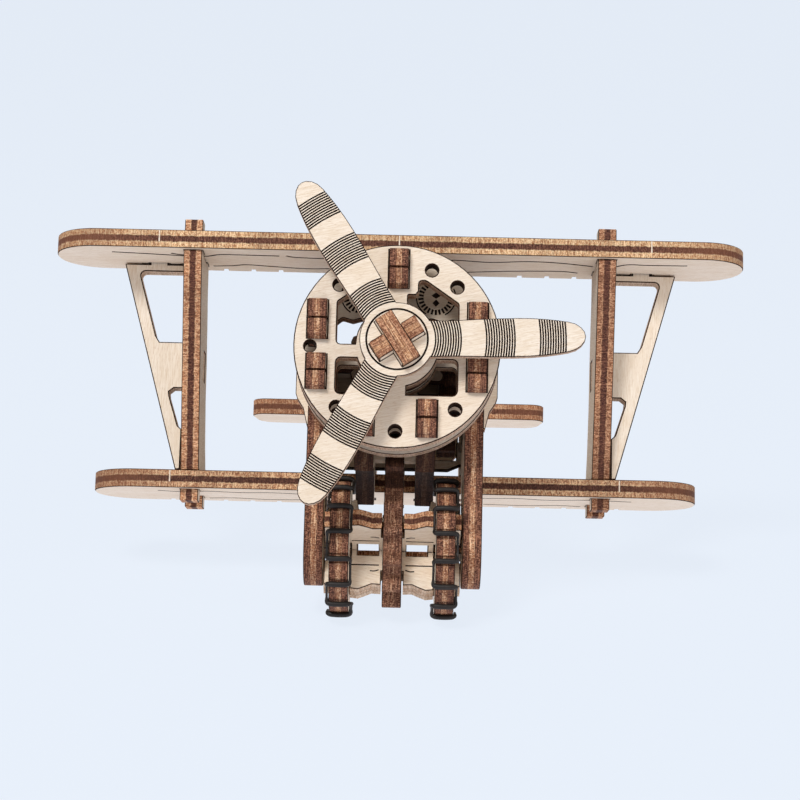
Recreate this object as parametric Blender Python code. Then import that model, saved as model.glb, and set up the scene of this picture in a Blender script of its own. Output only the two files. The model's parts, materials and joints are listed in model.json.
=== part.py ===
"""Propeller biplane model of interlocking plywood plates.

Every plate is drawn in the fuselage frame: x to the side, y towards the tail measured from the front
face of the nose disc, z up from the propeller axis. The whole model then stands nose-up on its two
wheels and its tail skid. All drawing dimensions are millimetres; MM turns them into metres.
"""
import math

import bmesh
import bpy
from mathutils import Matrix, Vector

MM = 0.001

# ---- driving dimensions (mm) ----
PLY = 4.0              # thickness of every plate but the propeller
HALF = PLY / 2
FIT = 0.3              # gap between a tab and its slot
PITCH_DEG = 22.0       # nose-up standing attitude
STAND_Y = -49.871      # places the model's box centre on the origin
STAND_Z = 58.702      # lifts the lowest point of wheels and skid to z = 0

DISC_R = 21.2
DISC_Y = (0.0, 4.0)
PANEL_Y = (8.4, 12.4)
TONGUE_BASE = 12.7     # where the fuselage plates start behind the second disc
TONGUE_TIP = -2.2
SIDE_X = 16.4
INNER_X = 6.4
SIDE_UP = (1.3, 9.1)
SIDE_DOWN = (-9.1, -2.2)
INNER_TAB = (-18.6, -11.3)
TOP_TAB = (12.2, 20.0)

UPPER_SPAN = 152.0
UPPER_Y = (24.0, 44.5)
UPPER_Z = 27.6
LOWER_SPAN = 134.0
LOWER_Y = (36.5, 57.5)
LOWER_Z = -23.3
STRUT_X = 45.2

PROP_R = 38.0
PROP_Y = (-6.6, -4.6)   # the propeller is cut from 2 mm ply
HUB_R = 7.6
SHAFT_W = 5.3          # half width of a cross-shaft plate

AXLE = (20.0, -39.25)   # wheel axle (y, z)
IDLER = (23.74, -18.87)
LAY = (32.3, 0.0)
CORD_R = 0.45          # rubber thread radius
WHEEL_X = 10.9
WHEEL_R = 14.0
CROSSINGS = 16
AXLE_TILT = 26.5       # first axle plate, degrees above straight ahead

# ---- scene reset ----
for ob in list(bpy.data.objects):
    bpy.data.objects.remove(ob, do_unlink=True)
plane_col = bpy.data.collections.new("propeller_plane_model")
bpy.context.scene.collection.children.link(plane_col)


# ---- materials ----
def material(name, rgb, rough):
    mat = bpy.data.materials.new(name)
    mat.use_nodes = True
    b = mat.node_tree.nodes["Principled BSDF"]
    b.inputs["Base Color"].default_value = (*rgb, 1.0)
    b.inputs["Roughness"].default_value = rough
    b.inputs["Metallic"].default_value = 0.0
    return mat


BIRCH = (0.78, 0.66, 0.49)
CHARRED = (0.35, 0.18, 0.10)
RUBBER = (0.03, 0.03, 0.035)


# ---- empties: the stand and the joint axes ----
def empty(name, at, parent=None):
    e = bpy.data.objects.new(name, None)
    e.empty_display_size = 0.01
    plane_col.objects.link(e)
    e.location = Vector(at) * MM
    e.parent = parent
    return e


stand = empty("stand", (0.0, STAND_Y, STAND_Z))
stand.rotation_euler = (-math.radians(PITCH_DEG), 0.0, 0.0)
axle_axis = empty("axle_axis", (0.0, *AXLE), stand)
idler_axis = empty("idler_axis", (0.0, *IDLER), stand)
lay_axis = empty("layshaft_axis", (0.0, *LAY), stand)
prop_axis = empty("propeller_axis", (0.0, 0.0, 0.0), stand)

# ---- plate planes: columns are the drawing's u, v and thickness directions ----
PLANES = {
    "XZ": Matrix(((1, 0, 0), (0, 0, -1), (0, 1, 0))),
    "YZ": Matrix(((0, 0, 1), (1, 0, 0), (0, 1, 0))),
    "XY": Matrix.Identity(3),
}


def finish_mesh(ob, sharp=30):
    me = ob.data
    me.shade_smooth()
    me.set_sharp_from_angle(angle=math.radians(sharp))


def plate(name, outline, holes=(), plane="XZ", at=(0, 0, 0), thick=PLY, parent=None,
          rgb=BIRCH, turn=0.0):
    """A flat piece: a filled 2D outline extruded to its thickness, welded to one closed mesh."""
    cu = bpy.data.curves.new(name + "_outline", "CURVE")
    cu.dimensions = "2D"
    cu.fill_mode = "BOTH"
    cu.extrude = thick / 2 * MM
    cu.render_resolution_u = 0
    for ring in (outline, *holes):
        sp = cu.splines.new("POLY")
        sp.points.add(len(ring) - 1)
        for p, (u, v) in zip(sp.points, ring):
            p.co = (u * MM, v * MM, 0.0, 1.0)
        sp.use_cyclic_u = True
    tmp = bpy.data.objects.new(name + "_curve", cu)
    plane_col.objects.link(tmp)
    bpy.context.view_layer.update()
    me = bpy.data.meshes.new_from_object(tmp.evaluated_get(bpy.context.evaluated_depsgraph_get()))
    me.name = name
    bm = bmesh.new()
    bm.from_mesh(me)
    bmesh.ops.remove_doubles(bm, verts=bm.verts, dist=1e-6)
    bmesh.ops.recalc_face_normals(bm, faces=bm.faces)
    bm.to_mesh(me)
    bm.free()
    bpy.data.objects.remove(tmp, do_unlink=True)
    ob = bpy.data.objects.new(name, me)
    me.materials.clear()
    me.materials.append(material(name + "_wood", rgb, 0.62))
    plane_col.objects.link(ob)
    ob.location = Vector(at) * MM
    rot = PLANES[plane].to_4x4()
    if turn:
        rot = Matrix.Rotation(math.radians(turn), 4, "X") @ rot
    ob.rotation_euler = rot.to_euler()
    ob.parent = parent or stand
    finish_mesh(ob)
    return ob


# ---- 2D drawing helpers ----
def rect(u0, v0, u1, v1):
    return [(u0, v0), (u1, v0), (u1, v1), (u0, v1)]


def circle(cu, cv, r, n=24, a0=0.0):
    return [(cu + r * math.cos(a0 + 2 * math.pi * i / n), cv + r * math.sin(a0 + 2 * math.pi * i / n))
            for i in range(n)]


def arc(cu, cv, r, a0, a1, n):
    return [(cu + r * math.cos(math.radians(a0 + (a1 - a0) * i / n)),
             cv + r * math.sin(math.radians(a0 + (a1 - a0) * i / n))) for i in range(n + 1)]


def mirror_u(ring):
    return [(-u, v) for u, v in reversed(ring)]


def turned(ring, deg, cu=0.0, cv=0.0):
    c, s = math.cos(math.radians(deg)), math.sin(math.radians(deg))
    return [(cu + u * c - v * s, cv + u * s + v * c) for u, v in ring]


def rounded(points, n=4):
    """Polygon of (u, v, r): each corner with r > 0 becomes a tangent arc."""
    out = []
    m = len(points)
    for i, p in enumerate(points):
        u, v = p[0], p[1]
        r = p[2] if len(p) > 2 else 0.0
        if r <= 0:
            out.append((u, v))
            continue
        a = Vector(points[i - 1][:2]) - Vector((u, v))
        b = Vector(points[(i + 1) % m][:2]) - Vector((u, v))
        la, lb = a.length, b.length
        a.normalize()
        b.normalize()
        ang = a.angle(b)
        d = min(r / math.tan(ang / 2), 0.49 * la, 0.49 * lb)
        rr = d * math.tan(ang / 2)
        mid = (a + b).normalized() * (rr / math.sin(ang / 2))
        c = Vector((u, v)) + mid
        p0 = Vector((u, v)) + a * d - c
        p1 = Vector((u, v)) + b * d - c
        t0 = math.atan2(p0.y, p0.x)
        t1 = math.atan2(p1.y, p1.x)
        while t1 - t0 > math.pi:
            t1 -= 2 * math.pi
        while t1 - t0 < -math.pi:
            t1 += 2 * math.pi
        for k in range(n + 1):
            t = t0 + (t1 - t0) * k / n
            out.append((c.x + rr * math.cos(t), c.y + rr * math.sin(t)))
    return out


def cross_ring(w, half=HALF + FIT):
    """Cross-shaped hole for two crossed plates of half width w."""
    return [(w, -half), (w, half), (half, half), (half, w), (-half, w), (-half, half),
            (-w, half), (-w, -half), (-half, -half), (-half, -w), (half, -w), (half, -half)]


def gear_ring(teeth, r_root, r_pitch, r_tip, w_root, w_pitch, w_tip, phase_deg):
    """Straight-flanked laser-cut teeth; the tips are cut square and their corners eased."""
    ring = []
    for k in range(teeth):
        a = math.radians(phase_deg) + 2 * math.pi * k / teeth
        for r, w in ((r_root, -w_root), (r_pitch, -w_pitch), (r_tip - 0.3, -w_tip),
                     (r_tip, -w_tip * 0.62), (r_tip, w_tip * 0.62), (r_tip - 0.3, w_tip),
                     (r_pitch, w_pitch), (r_root, w_root)):
            b = a + math.asin(w / 2 / r)
            ring.append((r * math.cos(b), r * math.sin(b)))
        b = a + math.pi / teeth
        ring.append((r_root * 0.985 * math.cos(b), r_root * 0.985 * math.sin(b)))
    return ring


def tongue(z1, z0, tip=TONGUE_TIP, base=TONGUE_BASE):
    """Split snap tab pointing forwards, drawn downwards from z1 to z0."""
    zm = (z0 + z1) / 2
    return [(base, z1), (-0.25, z1), (-0.5, z1 + 0.35), (tip + 0.5, z1 + 0.05), (tip, z1 - 0.4),
            (tip, zm + 0.25), (4.5, zm + 0.25), (4.5, zm - 0.25), (tip, zm - 0.25),
            (tip, z0 + 0.4), (tip + 0.5, z0 - 0.05), (-0.5, z0 - 0.35), (-0.25, z0), (base, z0)]


# ---- nose discs ----
def tab_slots():
    w = HALF + FIT
    out = [rect(-w, TOP_TAB[0] - FIT, w, TOP_TAB[1] + FIT)]
    for s in (-1, 1):
        for z0, z1 in (SIDE_UP, SIDE_DOWN):
            out.append(rect(s * SIDE_X - w, z0 - FIT, s * SIDE_X + w, z1 + FIT))
        out.append(rect(s * INNER_X - w, INNER_TAB[0] - FIT, s * INNER_X + w, INNER_TAB[1] + FIT))
    return out


def pin_holes():
    out = [circle(0.0, -17.7, 1.3, 16)]
    for s in (-1, 1):
        out += [circle(s * 12.1, -13.0, 1.3, 16), circle(s * 17.8, -0.45, 1.2, 16),
                circle(s * 12.1, 12.5, 1.3, 16), circle(s * 6.8, 15.95, 1.3, 16)]
    return out


HUB_CLEAR = 8.6


def hub_arc(a0, a1, n=8):
    return [(u, v, 0.0) for u, v in arc(0, 0, HUB_CLEAR, a0, a1, n)]


upper_window = rounded([(12.4, 0.2, 0.8), (12.4, 9.0, 0.8), (5.6, 13.7, 1.0), (4.2, 13.7, 0.7),
                        (4.2, 11.5, 0.3), (3.6, 10.7, 0.3), (2.0, 10.7, 0.3)]
                       + hub_arc(76.5, 1.5), 3)
lower_window = rounded([(2.08, -10.1, 0.0), (12.4, -10.1, 1.0), (12.4, -2.7, 1.0)]
                       + hub_arc(-18.5, -76.0), 3)

front_holes = [circle(0, 0, 6.0, 32), upper_window, mirror_u(upper_window), lower_window,
               mirror_u(lower_window), *tab_slots(), *pin_holes()]
plate("front_disc", circle(0, 0, DISC_R, 72), front_holes, "XZ",
      (0, sum(DISC_Y) / 2, 0))

panel_window = rounded([(12.9, 0.2, 0.8), (12.9, 6.4, 0.8), (11.6, 7.5, 0.8), (9.4, 6.9, 0.8),
                        (7.0, 7.6, 0.8), (5.2, 7.2, 0.5)] + hub_arc(57.0, 1.5, 7), 3)
panel_holes = [circle(0, 0, 6.0, 32), panel_window, mirror_u(panel_window), lower_window,
               mirror_u(lower_window), *tab_slots(), *pin_holes()[:2], *pin_holes()[5:6]]
plate("instrument_disc", circle(0, 0, DISC_R, 72), panel_holes, "XZ",
      (0, sum(PANEL_Y) / 2, 0))

# ---- fuselage sides with the landing legs ----
side = [(TONGUE_BASE, 10.4), *tongue(SIDE_UP[1], SIDE_UP[0]), *tongue(SIDE_DOWN[1], SIDE_DOWN[0]),
        (TONGUE_BASE, -12.0), (11.6, -29.0),
        *arc(AXLE[0], AXLE[1], 8.3, 180, 360, 14), (29.0, -32.0), (31.3, -25.3), (36.2, -21.0),
        (44.7, -21.0), (44.7, -25.2), (48.7, -25.2), (48.7, -21.0),
        (52.3, -21.0), (52.3, -25.2), (56.3, -25.2), (56.3, -21.0),
        (59.5, -21.5), (62.0, -17.0), (62.5, -6.0), (62.0, 6.0), (59.5, 10.4),
        (28.3, 10.4), (28.3, 0.0), (23.7, 0.0), (23.7, 10.4)]
side_holes = [circle(*AXLE, 3.0, 20), circle(*LAY, 3.0, 20), rect(38.2, -18.9, 42.8, -15.3),
              rect(54.7, -6.3, 59.3, 0.3), circle(48.5, -6.0, 4.2, 24)]
plate("outer_side_left", side, side_holes, "YZ", (-SIDE_X, 0, 0), rgb=CHARRED)
plate("outer_side_right", side, side_holes, "YZ", (SIDE_X, 0, 0), rgb=CHARRED)

# ---- inner longerons, running to the tail ----
WHEEL_CLEAR = 16.8
a_front = 180 - math.degrees(math.acos((AXLE[0] - TONGUE_BASE) / WHEEL_CLEAR))
a_back = math.degrees(math.acos((33.0 - AXLE[0]) / WHEEL_CLEAR))
inner = [(TONGUE_BASE, -11.0), *tongue(INNER_TAB[1], INNER_TAB[0]),
         *arc(AXLE[0], AXLE[1], WHEEL_CLEAR, a_front, a_back, 8), (33.4, -28.2), (35.9, -28.2),
         (35.9, -21.0), (46.0, -21.0), (46.0, -25.2), (50.0, -25.2), (50.0, -21.0),
         (58.0, -21.0), (62.0, -19.0), (90.0, -7.5), (103.0, -3.5), (117.5, -2.6), (117.5, 2.8),
         (112.0, 2.8), (112.0, 7.0), (108.0, 7.0), (108.0, 2.8), (103.6, 2.8), (103.6, 7.0),
         (101.5, 7.4), (62.0, 8.5), (59.3, 8.5), (59.3, -4.3), (54.7, -4.3), (54.7, 5.0),
         (50.5, 1.0), (47.5, -6.0), (44.0, -8.6), (22.0, -8.6), (19.5, -11.0)]
inner_holes = [circle(*IDLER, 2.25, 16), rect(38.2, -20.0, 42.8, -13.2), rect(92.7, -1.0, 97.3, 2.7),
               rounded([(67.0, -11.0, 1.5), (81.0, -5.6, 1.5), (81.0, 1.6, 1.5), (67.0, 2.4, 1.5)], 3)]
plate("inner_side_left", inner, inner_holes, "YZ", (-INNER_X, 0, 0), rgb=CHARRED)
plate("inner_side_right", inner, inner_holes, "YZ", (INNER_X, 0, 0), rgb=CHARRED)

# ---- centre spine with the cabane that carries the upper wing ----
spine = [(TONGUE_BASE, 20.3), *tongue(TOP_TAB[1], TOP_TAB[0]), (18.2, 12.2), (19.8, 14.3),
         (23.7, 14.3), (23.7, 18.4), (28.3, 18.4), (28.3, 14.3), (48.0, 14.3), (51.0, 9.8),
         (59.0, 9.8), (59.0, 13.0), (54.4, 13.0), (52.5, 16.5), (46.5, 20.3), (44.0, 25.3),
         (42.0, 25.3), (42.0, 29.5), (38.0, 29.5), (38.0, 25.3),
         (33.0, 25.3), (33.0, 29.5), (29.0, 29.5), (29.0, 25.3), (26.5, 25.3), (24.5, 21.5)]
plate("top_spine", spine, [], "YZ", (0, 0, 0), rgb=CHARRED)

# ---- cross frames ----
right = [(13.8, 0.3), (18.7, 0.3), (18.7, -12.6), (19.1, -13.0), (20.0, -9.2), (21.3, -7.2),
         (21.7, -6.0), (21.7, 3.0)] + arc(0, 3.0, 21.7, 8, 58, 10) + [(2.3, 21.45)]
frame_ring = right + [(2.3, 18.1), (-2.3, 18.1)] + mirror_u(right) + \
    [(-13.8, 17.4), (-13.0, 18.2), (-8.4, 18.2), (-8.4, 15.4), (8.4, 15.4), (8.4, 18.2),
     (13.0, 18.2), (13.8, 17.4)]
plate("mid_frame", frame_ring, [], "XZ", (0, 26.0, 0))

low = [(-18.3, -18.6), (-14.1, -18.6), (-11.6, -19.7), (11.6, -19.7), (14.1, -18.6), (18.3, -18.6),
       (18.3, -15.6), (14.1, -15.6), (14.1, -13.5), (13.4, -13.5), (13.4, -17.6), (8.5, -17.6),
       (8.5, -13.5), (-14.1, -13.5), (-14.1, -15.6), (-18.3, -15.6)]
plate("lower_frame", low, [], "XZ", (0, 40.5, 0))

rear = [(-18.3, -6.0), (-14.1, -6.0), (-14.1, -13.5), (-11.5, -16.5), (-8.7, -16.5), (-8.7, -4.0),
        (-4.1, -4.0), (-4.1, -16.5), (4.1, -16.5), (4.1, -4.0), (8.7, -4.0), (8.7, -16.5),
        (11.5, -16.5), (14.1, -13.5), (14.1, -6.0), (18.3, -6.0), (18.3, 0.0), (14.1, 0.0),
        *arc(0, 0.5, 14.1, 2, 178, 20), (-14.1, 0.0), (-18.3, 0.0)]
plate("rear_frame", rear, [rect(-2.3, 9.5, 2.3, 13.3), circle(0, 2.0, 2.6, 16)], "XZ",
      (0, 57.0, 0))

tail_ring = [(-8.3, -0.7), (-4.1, -0.7), (-4.1, -3.6), (-2.3, -3.6), (-2.3, 0.6), (2.3, 0.6),
             (2.3, -3.6), (4.1, -3.6), (4.1, -0.7), (8.3, -0.7), (8.3, 2.4), (4.1, 2.4),
             (4.1, 5.6), (-4.1, 5.6), (-4.1, 2.4), (-8.3, 2.4)]
plate("tail_frame", tail_ring, [], "XZ", (0, 95.0, 0))


# ---- wings ----
def wing(name, span, ys, z, round_r, slots, notches):
    y0, y1 = ys
    h = span / 2
    ring = rounded([(-h, y0, round_r), (h, y0, round_r), (h, y1, round_r), (-h, y1, round_r)], 10)
    return plate(name, ring, slots, "XY", (0, 0, z))


def slot_x(x, y0, y1):
    return rect(x - HALF - FIT, y0 - FIT, x + HALF + FIT, y1 + FIT)


upper_slots = [slot_x(0, 29.0, 33.0), slot_x(0, 38.0, 42.0)]
lower_slots = []
for s in (-1, 1):
    upper_slots += [slot_x(s * STRUT_X, 25.6, 29.6), slot_x(s * STRUT_X, 36.9, 40.9),
                    rect(s * 54.0 - 2.3, 38.2, s * 54.0 + 2.3, 42.8)]
    lower_slots += [slot_x(s * STRUT_X, 38.1, 42.1), slot_x(s * STRUT_X, 49.4, 53.4),
                    slot_x(s * SIDE_X, 44.7, 48.7), slot_x(s * SIDE_X, 52.3, 56.3),
                    slot_x(s * INNER_X, 46.0, 50.0)]
wing("upper_wing", UPPER_SPAN, UPPER_Y, UPPER_Z, 9.8, upper_slots, ())
wing("lower_wing", LOWER_SPAN, LOWER_Y, LOWER_Z, 9.8, lower_slots, ())

# ---- interplane struts and outboard braces ----
strut = [(25.0, 25.3), (29.5, 8.0), (33.6, -8.0), (37.4, -21.0),
         (38.1, -21.0), (38.1, -27.9), (42.1, -27.9), (42.1, -21.0),
         (49.4, -21.0), (49.4, -27.9), (53.4, -27.9), (53.4, -21.0), (53.9, -21.0),
         (50.2, -14.0), (47.0, -4.0), (46.0, 4.0), (44.2, 12.0), (42.2, 19.0), (41.4, 25.3),
         (40.9, 25.3), (40.9, 32.4), (36.9, 32.4), (36.9, 25.3),
         (29.6, 25.3), (29.6, 32.4), (25.6, 32.4), (25.6, 25.3)]
strut_holes = [rect(38.2, -0.8, 42.8, 5.8)]
brace = [(47.5, -21.0), (48.6, -21.0), (61.6, 25.0), (61.6, 25.3), (56.0, 25.3), (56.0, 29.5),
         (52.0, 29.5), (52.0, 25.3), (47.5, 25.3), (47.5, 23.7), *arc(57.0, 22.7, 1.0, 90, -12, 4),
         (54.1, 9.0), (53.2, 7.6), (47.5, 7.6), (47.5, 5.5), (43.3, 5.5), (43.3, -0.5),
         (47.5, -0.5), (47.5, -2.8), (49.6, -2.8), (50.6, -3.6), (50.5, -4.6), (48.4, -11.2),
         (47.5, -12.0)]
for tag, s in (("left", -1), ("right", 1)):
    plate("strut_" + tag, strut, strut_holes, "YZ", (s * STRUT_X, 0, 0), rgb=CHARRED)
    plate("brace_" + tag, brace if s > 0 else mirror_u(brace), [], "XZ", (0, 40.5, 0))

# ---- tail ----
tail = rounded([(-37.5, 104.0, 3.5), (37.5, 104.0, 3.5), (35.5, 116.5, 4.5), (12.0, 117.8, 2.0),
                (0.0, 116.8, 0), (-12.0, 117.8, 2.0), (-35.5, 116.5, 4.5)], 6)
plate("tailplane", tail, [slot_x(-INNER_X, 108.0, 112.0), slot_x(INNER_X, 108.0, 112.0),
                          slot_x(0, 105.5, 109.0), slot_x(0, 112.0, 115.5)], "XY", (0, 0, 5.1))
fin = rounded([(100.5, 7.4, 0), (105.5, 7.4, 0), (105.5, 3.2, 0), (109.0, 3.2, 0), (109.0, 7.4, 0),
               (119.5, 7.4, 1.5), (120.5, 18.0, 3.0), (117.0, 27.0, 4.0), (110.5, 26.0, 3.5),
               (105.0, 14.0, 6.0)], 5)
plate("fin", fin, [], "YZ", (0, 0, 0), rgb=CHARRED)

P = math.radians(PITCH_DEG)
ROLL_R = 14.76         # height of the axle above the ground, riding on the rubber
FOOT = 4.6             # length of the skid's flat foot
foot_y = 110.0
foot_z = AXLE[1] + (-ROLL_R + (foot_y - AXLE[0]) * math.sin(P)) / math.cos(P)
fy, fz = math.cos(P) * FOOT / 2, math.sin(P) * FOOT / 2
skid = [(92.7, 0.3), (92.7, -6.2), (99.0, -8.0), (104.5, -13.5),
        (foot_y - fy - 1.0, foot_z - fz + 0.5), (foot_y - fy, foot_z - fz),
        (foot_y + fy, foot_z + fz), (foot_y + fy + 0.3, foot_z + fz + 1.0),
        (110.5, -11.0), (112.0, -6.0), (116.5, -3.0), (117.0, 2.8),
        (115.5, 2.8), (115.5, 7.0), (112.0, 7.0), (112.0, 2.8), (97.6, 2.8), (97.6, 0.3)]
plate("tail_skid", skid, [], "YZ", (0, 0, 0), rgb=CHARRED)


# ---- turning parts ----
def pin(name, r, x0, x1, at, parent, rgb):
    bpy.ops.mesh.primitive_cylinder_add(vertices=20, radius=r * MM, depth=(x1 - x0) * MM)
    ob = bpy.context.active_object
    ob.name = name
    for c in list(ob.users_collection):
        c.objects.unlink(ob)
    plane_col.objects.link(ob)
    ob.data.name = name
    ob.data.materials.append(material(name + "_wood", rgb, 0.6))
    ob.rotation_euler = (0, math.pi / 2, 0)
    ob.location = Vector(at) * MM
    ob.parent = parent
    finish_mesh(ob)
    return ob


def shaft_pair(prefix, profile_a, profile_b, holes_a, holes_b, parent, plane_mat):
    """Two plates crossing on the axis. plane_mat gives each its orientation about that axis."""
    out = []
    for tag, prof, holes, m in (("a", profile_a, holes_a, plane_mat[0]),
                                ("b", profile_b, holes_b, plane_mat[1])):
        ob = plate(prefix + "_" + tag, prof, holes, "XY", (0, 0, 0), parent=parent, rgb=CHARRED)
        ob.rotation_euler = m.to_euler()
        out.append(ob)
    return out


def about_x(deg):
    """Plate with u along +X and v at deg above straight ahead (-Y)."""
    c, s = math.cos(math.radians(deg)), math.sin(math.radians(deg))
    u = Vector((1, 0, 0))
    v = Vector((0, -c, s))
    w = u.cross(v)
    return Matrix((u, v, w)).transposed()


def about_y(deg):
    """Plate with u along +Y and v at deg from +X towards +Z."""
    c, s = math.cos(math.radians(deg)), math.sin(math.radians(deg))
    u = Vector((0, 1, 0))
    v = Vector((c, 0, s))
    w = u.cross(v)
    return Matrix((u, v, w)).transposed()


def locked(u0, u1, w, mid, slot_side):
    """Rectangle of half width w from u0 to u1 with a slot from one end to just past mid."""
    g = HALF + FIT
    if slot_side < 0:
        return [(u0, -w), (u1, -w), (u1, w), (u0, w), (u0, g), (mid, g), (mid, -g), (u0, -g)]
    return [(u0, -w), (u1, -w), (u1, -g), (mid, -g), (mid, g), (u1, g), (u1, w), (u0, w)]


# propeller shaft: from in front of the hub to behind the small gear
PROP_SHAFT_DEG = -57.0
sa = locked(-9.0, 18.3, SHAFT_W, 5.3, 1)
sb = locked(-9.0, 18.3, SHAFT_W, 5.6, -1)
shaft_pair("shaft_plate", sa, sb, [], [], prop_axis,
           (about_y(PROP_SHAFT_DEG), about_y(PROP_SHAFT_DEG + 90)))
prop_cross = turned(cross_ring(SHAFT_W + FIT), PROP_SHAFT_DEG)


def blade():
    """One blade along +u: its lower edge out to the tip, then its upper edge back to the hub."""
    prof = [(6.6, 3.75), (9.0, 3.7), (12.0, 3.72), (16.0, 3.85), (20.0, 3.98), (24.0, 4.0),
            (27.0, 3.92), (30.0, 3.72), (32.5, 3.42), (34.5, 3.1), (36.0, 2.65), (37.1, 1.9),
            (37.8, 0.95), (38.0, 0.0)]
    return [(u, -w) for u, w in prof[:-1]] + [prof[-1]] + [(u, w) for u, w in reversed(prof[:-1])]


BLADE_DEG = 2.2        # first blade, degrees above straight right
prop_ring = []
b_half = math.degrees(math.asin(3.75 / HUB_R))
for k in range(3):
    prop_ring += turned(blade(), BLADE_DEG + 120 * k)
    prop_ring += arc(0, 0, HUB_R, BLADE_DEG + 120 * k + b_half + 3,
                     BLADE_DEG + 120 * (k + 1) - b_half - 3, 6)
plate("propeller", prop_ring, [prop_cross], "XZ", (0, sum(PROP_Y) / 2, 0),
      thick=PROP_Y[1] - PROP_Y[0], parent=prop_axis)
plate("shaft_collar", circle(0, 0, 8.3, 32), [prop_cross], "XZ", (0, 6.2, 0), parent=prop_axis)

PROP_TEETH = 8
CROWN_TEETH = 14
SPUR_TEETH = 12
IDLER_TEETH = 10
pr = gear_ring(PROP_TEETH, 7.7, 9.2, 10.4, 3.4, 2.7, 1.9, 22.5)
plate("prop_gear", pr, [prop_cross], "XZ", (0, 15.5, 0), parent=prop_axis)

# layshaft: crossed plates with round-running tongues in the fuselage sides
LS = 13.5
T = 1.7


def with_tongues(body_w, half_len, tongue_half, tip, mid, slot_side, extra=()):
    """Shaft plate: full-width middle, a tongue on the end away from the slot."""
    g = HALF + FIT
    if slot_side < 0:
        return [(-half_len, -body_w), (half_len, -body_w), (half_len, -tongue_half),
                (tip, -tongue_half), (tip, tongue_half), (half_len, tongue_half),
                (half_len, body_w), (-half_len, body_w), (-half_len, g), (mid, g), (mid, -g),
                (-half_len, -g)]
    return [(-half_len, -body_w), (half_len, -body_w), (half_len, -g), (mid, -g), (mid, g),
            (half_len, g), (half_len, body_w), (-half_len, body_w), (-half_len, tongue_half),
            (-tip, tongue_half), (-tip, -tongue_half), (-half_len, -tongue_half)]


LAY_DEG = 12.0
la = with_tongues(SHAFT_W, LS, T, 18.4, 0.15, -1)
lb = with_tongues(SHAFT_W, LS, T, 18.4, -0.15, 1)
shaft_pair("layshaft_plate", la, lb, [], [], lay_axis, (about_x(LAY_DEG), about_x(LAY_DEG + 90)))


def x_gear(name, ring_yz, hole_deg, hole_w, x, axis_empty, rgb=CHARRED, hole=None):
    """Gear in a plane across X. Its ring is drawn with angle 0 straight ahead (-Y)."""
    hole_ring = hole or turned(cross_ring(hole_w), hole_deg)
    to_yz = lambda ring: [(-u, v) for u, v in ring][::-1]
    return plate(name, to_yz(ring_yz), [to_yz(h) for h in ([hole_ring])], "YZ", (x, 0, 0),
                 parent=axis_empty, rgb=rgb)


# mesh phases: the angle (seen with 0 = straight ahead, 90 = up) from each axle to its neighbour
def ahead_angle(a, b):
    return math.degrees(math.atan2(b[1] - a[1], -(b[0] - a[0])))


ang_ai = ahead_angle(AXLE, IDLER)       # axle gear looks at the idler
ang_ia = ahead_angle(IDLER, AXLE)
ang_il = ahead_angle(IDLER, LAY)
ang_li = ahead_angle(LAY, IDLER)
axle_phase = ang_ai                                   # a tooth of the axle gear points at the idler
idler_phase = ang_ia + 180.0 / IDLER_TEETH            # a gap of the idler faces it
# idler tooth nearest to the layshaft line fixes the layshaft gear's phase
step_i = 360.0 / IDLER_TEETH
off = (ang_il - idler_phase) % step_i                 # how far the line lies past an idler tooth
lay_phase = ang_li + 180.0 / SPUR_TEETH + off * IDLER_TEETH / SPUR_TEETH
ag = gear_ring(SPUR_TEETH, 9.95, 11.3, 12.85, 3.2, 2.35, 1.35, axle_phase)
ig = gear_ring(IDLER_TEETH, 7.5, 9.42, 10.3, 3.0, 2.25, 1.55, idler_phase)
lg = gear_ring(SPUR_TEETH, 9.95, 11.3, 12.85, 3.2, 2.35, 1.35, lay_phase)
AXLE_SLOT = 7.3
x_gear("axle_gear", ag, AXLE_TILT, AXLE_SLOT, 0.0, axle_axis)
x_gear("idler_gear", ig, 0, 0, 0.0, idler_axis, hole=circle(0, 0, 2.25, 20))
x_gear("layshaft_gear", lg, LAY_DEG, SHAFT_W + FIT, 0.0, lay_axis)
pin("idler_pin", 1.9, -8.3, 8.3, (0, *IDLER), stand, BIRCH)
# the crown wheel has a tooth straight ahead, in a gap of the small gear at its side
cg = gear_ring(CROWN_TEETH, 14.4, 16.8, 17.7, 3.2, 2.4, 1.8, 0.0)
x_gear("crown_wheel", cg, LAY_DEG, SHAFT_W + FIT, 10.95, lay_axis)

# wheel axle: two wide plates whose tabs pass through the wheels
WEB_X = 8.6
TAB = (4.6, 10.4)
END_X = 14.1


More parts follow.
